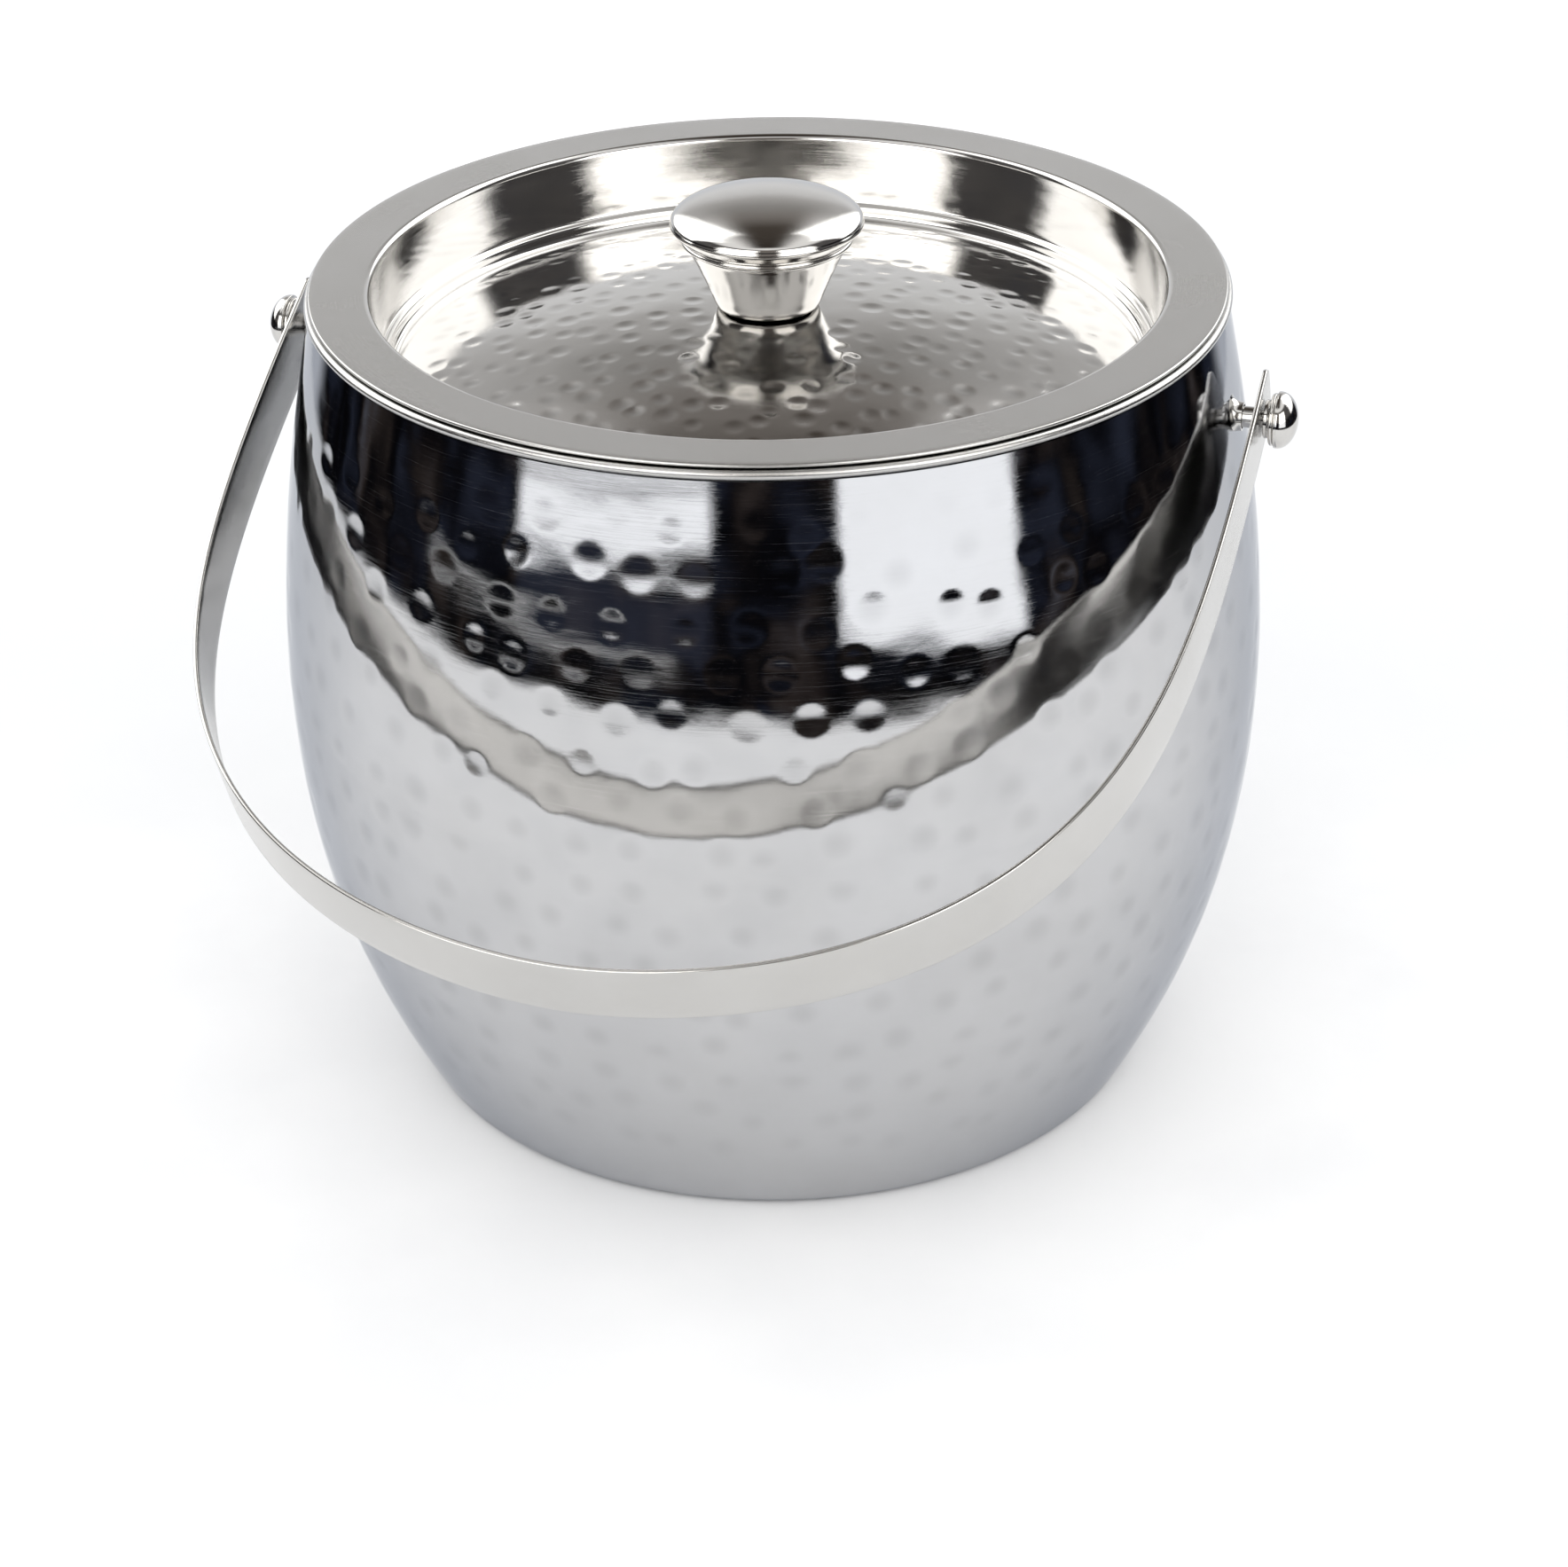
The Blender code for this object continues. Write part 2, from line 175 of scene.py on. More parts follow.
def body_radius(height):
    """Outside radius of the body at a height: one cubic from the foot to the lip."""
    t = min(max(height / BODY_HEIGHT, 0.0), 1.0)
    foot = (2 * t**3 - 3 * t**2 + 1) * BODY_FOOT_RADIUS
    foot += (t**3 - 2 * t**2 + t) * BODY_HEIGHT * BODY_FOOT_SLOPE
    lip = (3 * t**2 - 2 * t**3) * BODY_LIP_RADIUS
    lip += (t**3 - t**2) * BODY_HEIGHT * BODY_LIP_SLOPE
    return foot + lip


def body_wall(inset, bottom, top, cell):
    """(height, radius) points up the wall, moved inwards by inset at right angles to it."""
    steps = max(2, round((top - bottom) / cell))
    rise = 0.1 * MM
    points = []
    for i in range(steps + 1):
        height = bottom + (top - bottom) * i / steps
        slope = (body_radius(height + rise) - body_radius(height - rise)) / (2 * rise)
        if height > BODY_HEIGHT - rise:
            slope = BODY_LIP_SLOPE
        length = math.hypot(1.0, slope)
        points.append((height + inset * slope / length, body_radius(height) - inset / length))
    return points


def dome_height(radius):
    """Height of the lid's raised floor: flat under the knob, falling to the groove."""
    share = max(0.0, (radius - DOME_FLAT) / (GROOVE_RADIUS - DOME_FLAT))
    return DOME_TOP - (DOME_TOP - GROOVE_FLOOR) * share**1.75


# ---------------------------------------------------------------- mesh work
def fresh(name, mesh, sharp=40.0):
    """A new object with that mesh, shaded smooth, with its real edges kept sharp."""
    mesh.shade_smooth()
    mesh.set_sharp_from_angle(angle=math.radians(sharp))
    obj = bpy.data.objects.new(name, mesh)
    bpy.context.scene.collection.objects.link(obj)
    return obj


def point_values(mesh, name, values):
    mesh.attributes.new(name, "FLOAT", "POINT").data.foreach_set("value", np.float32(values))


def turned_mesh(name, outline, columns, axis="Z", height=0.0, press=None):
    """Turns a closed (along, out) outline, given anticlockwise in (out, along), into a closed mesh.

    Each point keeps "run", its distance along the outline, and press gives how deep the hammer goes.
    """
    count = len(outline)
    run = [0.0]
    for a, b in zip(outline, outline[1:]):
        run.append(run[-1] + math.dist(a, b))
    angles = np.arange(columns) * math.tau / columns
    round_x, round_y = np.cos(angles), np.sin(angles)
    points, rows, runs, presses = [], [], [], []
    for (along, out), distance in zip(outline, run):
        pole = out < 1e-7
        number = 1 if pole else columns
        start = len(runs)
        rows.append([start] * columns if pole else list(range(start, start + columns)))
        ring = np.zeros((number, 3))
        if not pole:
            ring[:, 0] = out * round_x
            ring[:, 1] = out * round_y
        ring[:, 2] = along
        points.append(ring)
        runs += [distance] * number
        presses += [press(along, out) if press else 0.0] * number
    faces = []
    for i in range(count):
        first, second = rows[i], rows[(i + 1) % count]
        flat_first, flat_second = first[0] == first[1], second[0] == second[1]
        if flat_first and flat_second:
            continue
        for k in range(columns):
            after = (k + 1) % columns
            if flat_first:
                faces.append((first[k], second[after], second[k]))
            elif flat_second:
                faces.append((first[k], first[after], second[k]))
            else:
                faces.append((first[k], first[after], second[after], second[k]))
    points = np.vstack(points)
    if axis == "X":
        points = points[:, [2, 0, 1]]
    if axis == "-X":
        points = points[:, [2, 0, 1]] * (-1.0, -1.0, 1.0)
    points[:, 2] += height
    mesh = bpy.data.meshes.new(name)
    mesh.from_pydata(points.tolist(), [], faces)
    if outline_turns_clockwise(outline):
        mesh.flip_normals()
    point_values(mesh, "run", runs)
    point_values(mesh, "press", presses)
    return mesh


def outline_turns_clockwise(outline):
    """True for an outline whose faces turned_mesh would point inwards."""
    doubled = 0.0
    for (z1, r1), (z2, r2) in zip(outline, outline[1:] + outline[:1]):
        doubled += r1 * z2 - r2 * z1
    return doubled < 0.0


def turned(name, outline, columns, material, **placing):
    mesh = turned_mesh(name, outline, columns, **placing)
    mesh.materials.append(material)
    return fresh(name, mesh)


def finished(piece, body, slot, *nodes):
    """Rides the piece on its body in place of the CAD nodes that it stands for."""
    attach(piece, body)
    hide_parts(*nodes)
    return piece


# ---------------------------------------------------------------- node work
def add(tree, kind, inputs=None, **settings):
    """A new node with its settings made and its inputs set or linked."""
    made = tree.nodes.new(kind)
    for key, value in settings.items():
        setattr(made, key, value)
    for key, value in (inputs or {}).items():
        if isinstance(value, bpy.types.NodeSocket):
            tree.links.new(value, made.inputs[key])
        else:
            made.inputs[key].default_value = value
    return made


def maths(tree, operation, *values, clamp=False):
    inputs = dict(enumerate(values))
    return add(tree, "ShaderNodeMath", inputs, operation=operation, use_clamp=clamp).outputs[0]


# ---------------------------------------------------------------- steels
def steel(name, colour, rough, streak, smudge, waviness=0.0, scuffed=0.0, edge=(1.0, 1.0, 1.0)):
    """A steel whose polish streaks follow "run", with smudges, a faint long waviness and painted shade in
    the hammer's hollows.

    colour: reflection of clean metal. rough: (least, most) roughness. streak: (spacing, slope).
    smudge: size of the cloudy patches. waviness: slope of the slow unevenness of the sheet.
    scuffed: how much rougher the coarsest polish lines are. edge: tint where the sheet turns away.
    """
    material = bpy.data.materials.new(name)
    material.use_nodes = True
    tree = material.node_tree
    shader = tree.nodes["Principled BSDF"]
    shader.inputs["Metallic"].default_value = 1.0
    shader.inputs["Specular Tint"].default_value = (*edge, 1.0)
    place = add(tree, "ShaderNodeTexCoord").outputs["Object"]
    run = add(tree, "ShaderNodeAttribute", attribute_name="run").outputs["Fac"]

    spacing, slope = streak
    lines = add(
        tree,
        "ShaderNodeTexNoise",
        {"Vector": place, "W": maths(tree, "DIVIDE", run, spacing), "Scale": 45.0, "Detail": 3.0},
        noise_dimensions="4D",
    ).outputs["Fac"]
    cloud = add(
        tree,
        "ShaderNodeTexNoise",
        {"Vector": place, "Scale": 1.0 / smudge, "Detail": 5.0, "Roughness": 0.62},
    ).outputs["Fac"]
    fine = add(
        tree, "ShaderNodeTexNoise", {"Vector": place, "Scale": 900.0, "Detail": 2.0}
    ).outputs["Fac"]

    worn = maths(tree, "ADD", maths(tree, "MULTIPLY", cloud, 0.65), maths(tree, "MULTIPLY", lines, 0.35))
    least, most = rough
    rough_range = {"Value": worn, "From Min": 0.34, "From Max": 0.68, "To Min": least, "To Max": most}
    roughness = add(tree, "ShaderNodeMapRange", rough_range).outputs["Result"]
    scuffs = {"Value": lines, "From Min": 0.63, "From Max": 0.73, "To Min": 0.0, "To Max": scuffed}
    roughness = maths(tree, "ADD", roughness, add(tree, "ShaderNodeMapRange", scuffs).outputs["Result"])
    tree.links.new(roughness, shader.inputs["Roughness"])

    tint = add(tree, "ShaderNodeValToRGB", {"Fac": worn})
    tint.color_ramp.elements[0].position = 0.30
    tint.color_ramp.elements[0].color = (*[c * 1.03 for c in colour], 1.0)
    tint.color_ramp.elements[1].position = 0.75
    tint.color_ramp.elements[1].color = (colour[0] * 0.94, colour[1] * 0.935, colour[2] * 0.925, 1.0)
    # Painted shade: inside each hammer blow's hollow the steel is mixed up to 16% towards dark grey, most
    # at the centre, to stand in for the shade the hollows show.
    dent = add(tree, "ShaderNodeAttribute", attribute_name="dent").outputs["Fac"]
    painted_dent_shade = maths(tree, "MULTIPLY", dent, 0.16)
    base = blend(tree, painted_dent_shade, tint.outputs["Color"], (0.18, 0.18, 0.185, 1.0))
    tree.links.new(base, shader.inputs["Base Color"])

    scratches = add(
        tree,
        "ShaderNodeBump",
        {"Height": lines, "Strength": 1.0, "Distance": slope * spacing},
    )
    grain = add(
        tree,
        "ShaderNodeBump",
        {"Height": fine, "Strength": 1.0, "Distance": 0.002 * MM, "Normal": scratches.outputs[0]},
    )
    last = grain
    if waviness:
        slow = add(
            tree, "ShaderNodeTexNoise", {"Vector": place, "Scale": 60.0, "Detail": 1.0}
        ).outputs["Fac"]
        last = add(
            tree,
            "ShaderNodeBump",
            {"Height": slow, "Strength": 1.0, "Distance": waviness * 16 * MM, "Normal": grain.outputs[0]},
        )
    tree.links.new(last.outputs[0], shader.inputs["Normal"])
    return material


def machined_steel(name, colour, rough):
    """A plain machined or pressed steel for the fixings and the base, with grain on Object coordinates."""
    material = bpy.data.materials.new(name)
    material.use_nodes = True
    tree = material.node_tree
    shader = tree.nodes["Principled BSDF"]
    shader.inputs["Metallic"].default_value = 1.0
    place = add(tree, "ShaderNodeTexCoord").outputs["Object"]
    cloud = add(
        tree, "ShaderNodeTexNoise", {"Vector": place, "Scale": 140.0, "Detail": 6.0}
    ).outputs["Fac"]
    grain = add(
        tree, "ShaderNodeTexNoise", {"Vector": place, "Scale": 1600.0, "Detail": 2.0}
    ).outputs["Fac"]
    span = {"Value": cloud, "From Min": 0.3, "From Max": 0.7, "To Min": rough[0], "To Max": rough[1]}
    tree.links.new(add(tree, "ShaderNodeMapRange", span).outputs["Result"], shader.inputs["Roughness"])
    tint = add(tree, "ShaderNodeValToRGB", {"Fac": cloud})
    tint.color_ramp.elements[0].color = (*colour, 1.0)
    tint.color_ramp.elements[1].color = (*[c * 0.85 for c in colour], 1.0)
    tree.links.new(tint.outputs["Color"], shader.inputs["Base Color"])
    bump = add(tree, "ShaderNodeBump", {"Height": grain, "Strength": 1.0, "Distance": 0.01 * MM})
    tree.links.new(bump.outputs[0], shader.inputs["Normal"])
    return material


# ---------------------------------------------------------------- hammering
def tree_inputs(tree, sizes):
    """Named inputs of a Geometry Nodes tree, and the node whose outputs they are."""
    tree.interface.new_socket(name="Geometry", in_out="INPUT", socket_type="NodeSocketGeometry")
    for name, value in sizes.items():
        kind = "NodeSocketInt" if isinstance(value, int) else "NodeSocketFloat"
        socket = tree.interface.new_socket(name=name, in_out="INPUT", socket_type=kind)
        socket.default_value = value
    tree.interface.new_socket(name="Steel", in_out="INPUT", socket_type="NodeSocketMaterial")
    tree.interface.new_socket(name="Geometry", in_out="OUTPUT", socket_type="NodeSocketGeometry")
    return add(tree, "NodeGroupInput").outputs


def chance(tree, least, most, seed, number=None):
    """A random number for each point, or for the point with that number."""
    made = add(tree, "FunctionNodeRandomValue", {2: least, 3: most, 8: seed}, data_type="FLOAT")
    if number is not None:
        tree.links.new(number, made.inputs[7])
    return made.outputs[1]


def seed_after(tree, seed, step):
    return maths(tree, "ADD", seed, float(step))


def row_starts(tree, sizes):
    """Start points of the hammer blows round a wall: staggered rows, each a little off its place."""
    index = add(tree, "GeometryNodeInputIndex").outputs[0]
    seed = sizes["Seed"]
    row = maths(tree, "FLOOR", maths(tree, "DIVIDE", index, sizes["Blows in a row"]))
    column = maths(tree, "MODULO", index, sizes["Blows in a row"])
    wander = sizes["Wander"]
    aside = maths(tree, "MULTIPLY", chance(tree, -1.0, 1.0, seed), wander)
    stagger = maths(tree, "MULTIPLY", row, 0.5)
    turn = maths(tree, "ADD", maths(tree, "ADD", column, stagger), aside)
    turn = maths(tree, "DIVIDE", maths(tree, "MULTIPLY", turn, math.tau), sizes["Blows in a row"])
    lift = maths(tree, "MULTIPLY", chance(tree, -1.0, 1.0, seed_after(tree, seed, 1)), wander)
    height = maths(tree, "MULTIPLY", maths(tree, "ADD", row, lift), sizes["Row spacing"])
    height = maths(tree, "ADD", height, sizes["First row"])
    cos, sin = maths(tree, "COSINE", turn), maths(tree, "SINE", turn)
    reach = 2.0 * RIM_REACH
    out_x, out_y = maths(tree, "MULTIPLY", cos, reach), maths(tree, "MULTIPLY", sin, reach)
    start = add(tree, "ShaderNodeCombineXYZ", {0: out_x, 1: out_y, 2: height}).outputs[0]
    back_x, back_y = maths(tree, "MULTIPLY", cos, -1.0), maths(tree, "MULTIPLY", sin, -1.0)
    aim = add(tree, "ShaderNodeCombineXYZ", {0: back_x, 1: back_y}).outputs[0]
    count = maths(tree, "MULTIPLY", sizes["Rows"], sizes["Blows in a row"])
    return count, start, aim


def ring_starts(tree, sizes):
    """Start points of the hammer blows over the lid's floor: one close spiral, which reads as rings."""
    index = add(tree, "GeometryNodeInputIndex").outputs[0]
    seed = sizes["Seed"]
    wander = sizes["Wander"]
    pitch = sizes["Ring spacing"]
    area = maths(tree, "MULTIPLY", maths(tree, "MULTIPLY", pitch, sizes["Blow spacing"]), index)
    inner = maths(tree, "POWER", sizes["Inner radius"], 2.0)
    reach = maths(tree, "SQRT", maths(tree, "ADD", maths(tree, "DIVIDE", area, math.pi), inner))
    turn = maths(tree, "DIVIDE", maths(tree, "MULTIPLY", reach, math.tau), pitch)
    aside = maths(tree, "MULTIPLY", chance(tree, -1.0, 1.0, seed), wander)
    along = maths(tree, "DIVIDE", maths(tree, "MULTIPLY", aside, pitch), reach)
    turn = maths(tree, "ADD", turn, along)
    off = maths(tree, "MULTIPLY", chance(tree, -1.0, 1.0, seed_after(tree, seed, 1)), wander)
    reach = maths(tree, "ADD", reach, maths(tree, "MULTIPLY", off, pitch))
    out_x = maths(tree, "MULTIPLY", reach, maths(tree, "COSINE", turn))
    out_y = maths(tree, "MULTIPLY", reach, maths(tree, "SINE", turn))
    start = add(tree, "ShaderNodeCombineXYZ", {0: out_x, 1: out_y, 2: 2.0 * LID_TOP}).outputs[0]
    aim = add(tree, "ShaderNodeCombineXYZ", {2: -1.0}).outputs[0]
    return sizes["Blows"], start, aim


def hammer_tree(name, starts, sizes):
    """Presses a round hollow into the incoming sheet at each start point's landing place, and stores its
    shape as "dent" for the steel's painted shade.
    """
    tree = bpy.data.node_groups.new(name, "GeometryNodeTree")
    given = tree_inputs(tree, sizes)
    sheet = given["Geometry"]
    count, start, aim = starts(tree, given)
    blows = add(tree, "GeometryNodePoints", {"Count": count, "Position": start}).outputs[0]
    landing = add(
        tree,
        "GeometryNodeRaycast",
        {"Target Geometry": sheet, "Ray Direction": aim, "Ray Length": 1.0},
    )
    landed = add(
        tree, "GeometryNodeSetPosition", {"Geometry": blows, "Position": landing.outputs["Hit Position"]}
    ).outputs[0]

    nearest = add(tree, "GeometryNodeSampleNearest", {"Geometry": landed}).outputs[0]
    distance = add(
        tree, "GeometryNodeProximity", {"Geometry": landed}, target_element="POINTS"
    ).outputs["Distance"]
    seed = given["Seed"]
    width_chance = chance(tree, 0.85, 1.12, seed_after(tree, seed, 2), nearest)
    depth_chance = chance(tree, 0.55, 1.35, seed_after(tree, seed, 3), nearest)
    wide = maths(tree, "MULTIPLY", given["Blow radius"], width_chance)
    deep = maths(tree, "MULTIPLY", given["Blow depth"], depth_chance)
    share = maths(tree, "DIVIDE", distance, wide, clamp=True)
    bowl = maths(tree, "SUBTRACT", 1.0, maths(tree, "POWER", share, 2.0))
    bowl = maths(tree, "POWER", bowl, 1.5)
    uneven = add(
        tree, "ShaderNodeTexNoise", {"Scale": given["Unevenness scale"], "Detail": 1.0}
    ).outputs["Fac"]
    uneven = maths(tree, "MULTIPLY", maths(tree, "SUBTRACT", uneven, 0.40), given["Unevenness"])
    press = add(
        tree, "GeometryNodeInputNamedAttribute", {"Name": "press"}, data_type="FLOAT"
    ).outputs[0]
    sink = maths(tree, "ADD", maths(tree, "MULTIPLY", bowl, deep), uneven)
    sink = maths(tree, "MULTIPLY", sink, press)
    normal = add(tree, "GeometryNodeInputNormal").outputs[0]
    inwards = add(
        tree,
        "ShaderNodeVectorMath",
        {0: normal, "Scale": maths(tree, "MULTIPLY", sink, -1.0)},
        operation="SCALE",
    ).outputs[0]
    # "dent" is how far each point lies inside a blow's hollow; the steel uses it to paint shade in the
    # hollows.
    marked = add(
        tree,
        "GeometryNodeStoreNamedAttribute",
        {"Geometry": sheet, "Name": "dent", "Value": maths(tree, "MULTIPLY", bowl, press)},
        data_type="FLOAT",
        domain="POINT",
    ).outputs[0]
    pressed = add(tree, "GeometryNodeSetPosition", {"Geometry": marked, "Offset": inwards}).outputs[0]
    real = add(tree, "GeometryNodeRealizeInstances", {"Geometry": pressed}).outputs[0]
    steel_inputs = {"Geometry": real, "Material": given["Steel"]}
    steeled = add(tree, "GeometryNodeSetMaterial", steel_inputs).outputs[0]
    add(tree, "NodeGroupOutput", {"Geometry": steeled})
    return tree


def hammered(name, mesh, tree, material, **changed):
    """The mesh hammered by the tree, with some of its named inputs changed, as a plain mesh object."""
    obj = bpy.data.objects.new(name, mesh)
    bpy.context.scene.collection.objects.link(obj)
    modifier = obj.modifiers.new("hammering", "NODES")
    modifier.node_group = tree
    for socket in tree.interface.items_tree:
        if socket.item_type != "SOCKET" or socket.in_out != "INPUT":
            continue
        if socket.name == "Steel":
            modifier[socket.identifier] = material
        key = socket.name.lower().replace(" ", "_")
        if key in changed:
            modifier[socket.identifier] = changed[key]
    graph = bpy.context.evaluated_depsgraph_get()
    result = bpy.data.meshes.new_from_object(obj.evaluated_get(graph))
    bpy.data.objects.remove(obj)
    result.name = name
    return fresh(name, result)


# ---------------------------------------------------------------- bucket
def foot_outline():
    """The rolled foot: from the opening under the bucket out to the wall."""
    edge = body_radius(FOOT_ROLL)
    bottom = straight((0.0, FOOT_OPENING), (0.0, edge - 3.6 * MM), WALL_CELL * 3)
    roll = [
        (0.0, edge - 3.6 * MM),
        (0.25 * MM, edge - 2.4 * MM),
        (1.1 * MM, edge - 1.1 * MM),
        (FOOT_ROLL, edge),
    ]
    return bottom + flowing(roll, 4)[:-1]


def wall_press(along, out):
    """How deep the hammer goes: less towards the foot, and not at all at the lip, the seams or inside."""
    inside = out < body_radius(along) - 0.3 * SHELL_SHEET
    if inside or along < FOOT_PLAIN:
        return 0.0
    rise = min(1.0, (along - FOOT_PLAIN) / FOOT_FADE)
    lip = min(1.0, max(0.0, (BODY_HEIGHT - LIP_PLAIN - along) / LIP_FADE))
    share = min(1.0, min(abs(along - seam) for seam in WALL_SEAMS) / SEAM_FADE)
    return (0.35 + 0.65 * rise) * lip * share * share * (3 - 2 * share)


def hammered_wall(tree, material):
    """The outer shell in three bands, which meet edge to edge between two rows of blows."""
    sheet = SHELL_SHEET
    first_seam, second_seam = WALL_SEAMS
    foot = foot_outline() + body_wall(0.0, FOOT_ROLL, first_seam, WALL_CELL)
    foot += body_wall(sheet, FOOT_ROLL, first_seam, WALL_CELL * 12)[::-1]
    edge = body_radius(FOOT_ROLL)
    foot += [(sheet + 0.7 * MM, edge - 2.5 * MM), (sheet, edge - 4.2 * MM), (sheet, FOOT_OPENING)]
    middle = body_wall(0.0, first_seam, second_seam, WALL_CELL)
    middle += body_wall(sheet, first_seam, second_seam, WALL_CELL * 12)[::-1]
    upper = body_wall(0.0, second_seam, BODY_HEIGHT, WALL_CELL)
    upper += body_wall(sheet, second_seam, BODY_HEIGHT, WALL_CELL * 12)[::-1]
    bands = {
        "foot_band_hammered": (foot, 3, 19.5 * MM),
        "middle_band_hammered": (middle, 5, 45.6 * MM),
        "upper_band_hammered": (upper, 8, 89.1 * MM),
    }
    for seed, (name, (outline, count, first)) in enumerate(bands.items()):
        mesh = turned_mesh(name, outline, WALL_COLUMNS, press=wall_press)
        piece = hammered(name, mesh, tree, material, rows=count, first_row=first, seed=11 + seed)
        finished(piece, "bucket", "hammered_steel", "outer_shell")


def rolled_liner(material):
    """The plain liner, its flat top edge rolled over the outer shell in a small bright bead."""
    sheet = PAN_SHEET
    bead = RIM_BEAD
    outline = arc((RIM_TOP - 1.2 * MM, LINER_RADIUS + 1.2 * MM), 1.2 * MM, 180.0, 90.0, 8)
    outline += straight((RIM_TOP, LINER_RADIUS + 1.6 * MM), (RIM_TOP, RIM_REACH - 2 * bead), 1.5 * MM)
    outline += arc((RIM_TOP - bead, RIM_REACH - bead), bead, 90.0, -90.0, 14)
    outline += [(RIM_TOP - sheet, RIM_REACH - 2.4 * bead)]
    outline += arc(
        (RIM_TOP - sheet - 1.0 * MM, LINER_RADIUS + sheet + 1.0 * MM), 1.0 * MM, 90.0, 180.0, 5
    )
    centre = (LINER_FLOOR + LINER_CORNER, LINER_FOOT_RADIUS - LINER_CORNER)
    outline += straight(
        (LINER_STRAIGHT, LINER_RADIUS + sheet), (centre[0], LINER_FOOT_RADIUS + sheet), 20 * MM
    )
    outline += arc(centre, LINER_CORNER + sheet, 0.0, -90.0, 12)
    outline += [(LINER_FLOOR - sheet, 0.0), (LINER_FLOOR, 0.0)]
    outline += straight((LINER_FLOOR, 3 * MM), (LINER_FLOOR, centre[1]), 4 * MM)
    outline += arc(centre, LINER_CORNER, -90.0, 0.0, 16)
    wall_foot = (centre[0] + 4 * MM, LINER_FOOT_RADIUS + 0.2 * MM)
    outline += straight(wall_foot, (LINER_STRAIGHT, LINER_RADIUS), 5 * MM)
    outline += straight((LINER_STRAIGHT, LINER_RADIUS), (RIM_TOP - 1.3 * MM, LINER_RADIUS), 5 * MM)
    piece = turned("rolled_liner", outline, ROUND_COLUMNS, material)
    finished(piece, "bucket", "polished_steel", "inner_liner")


# ---------------------------------------------------------------- lid
def lid_floor(tree, material):
    """The domed floor of the lid, hammered in rings from the knob nearly to the groove."""
    sheet = PAN_SHEET
    reach = GROOVE_RADIUS - SCREW_HOLE
    steps = round(reach / LID_CELL)
    radii = [SCREW_HOLE + reach * i / steps for i in range(steps + 1)]
    under = radii[:: steps // 10]
    outline = [(dome_height(r) - sheet, r) for r in under] + [(dome_height(r), r) for r in radii[::-1]]
    if under[-1] < radii[-1]:
        outline.insert(len(under), (dome_height(radii[-1]) - sheet, radii[-1]))

    def floor_press(along, out):
        if along < dome_height(out) - sheet / 2:
            return 0.0
        rim = min(1.0, max(0.0, (GROOVE_RADIUS - 2.5 * MM - out) / (2.5 * MM)))
        middle = min(1.0, max(0.0, (out - DOME_FLAT) / (1.5 * MM)))
        return rim * middle

    mesh = turned_mesh("lid_floor_hammered", outline, LID_COLUMNS, press=floor_press)
    piece = hammered("lid_floor_hammered", mesh, tree, material)
    finished(piece, "lid", "polished_steel", "lid_pan")


def lid_recess(material):
    """The groove, ledge and wall of the lid's recess, up to the start of its flange."""
    sheet = PAN_SHEET
    foot = RECESS_FOOT_RADIUS
    outline = flowing(
        [
            (GROOVE_FLOOR, GROOVE_RADIUS),
            (GROOVE_FLOOR + 0.1 * MM, GROOVE_RADIUS + 0.6 * MM),
            (GROOVE_FLOOR + 0.7 * MM, GROOVE_RADIUS + 1.15 * MM),
            (RECESS_LEDGE - 0.7 * MM, GROOVE_RADIUS + 1.3 * MM),
            (RECESS_LEDGE - 0.15 * MM, GROOVE_RADIUS + 1.5 * MM),
            (RECESS_LEDGE, GROOVE_RADIUS + 1.9 * MM),
            (RECESS_LEDGE + 0.1 * MM, foot - 0.5 * MM),
            (RECESS_LEDGE + 0.35 * MM, foot - 0.15 * MM),
            (RECESS_LEDGE + 1.0 * MM, foot),
        ],
        5,
    )
    wall_foot = (RECESS_LEDGE + 1.6 * MM, foot + 0.05 * MM)
    outline += straight(wall_foot, (LID_TOP - 1.6 * MM, RECESS_RADIUS), 0.8 * MM)
    corner = LID_CORNER
    outline += arc((LID_TOP - corner, RECESS_RADIUS + corner), corner, 180.0, 90.0, 14)
    outline += [
        (LID_TOP - sheet, RECESS_RADIUS + corner),
        (LID_TOP - sheet - 0.5 * MM, RECESS_RADIUS + sheet),
        (RECESS_LEDGE, foot + sheet),
        (RECESS_LEDGE - 0.7 * MM, foot - 0.2 * MM),
        (GROOVE_FLOOR - 0.3 * MM, GROOVE_RADIUS + 1.7 * MM),
        (GROOVE_FLOOR - sheet, GROOVE_RADIUS + 0.8 * MM),
        (GROOVE_FLOOR - sheet, GROOVE_RADIUS),
    ]
    piece = turned("lid_recess", outline, LID_COLUMNS, material)
    finished(piece, "lid", "polished_steel", "lid_pan")


def lid_flange(material):
    """The flat satin flange round the recess, with its rounded outer edge."""
    sheet = PAN_SHEET
    inner = RECESS_RADIUS + LID_CORNER
    outline = straight((LID_TOP, inner), (LID_TOP, LID_RADIUS - sheet), 0.8 * MM)
    outline += arc((LID_TOP - sheet / 2, LID_RADIUS - sheet / 2), sheet / 2, 90.0, -90.0, 12)
    outline += [(LID_TOP - sheet, inner)]
    piece = turned("lid_flange", outline, LID_COLUMNS, material)
    finished(piece, "lid", "polished_steel", "lid_pan")


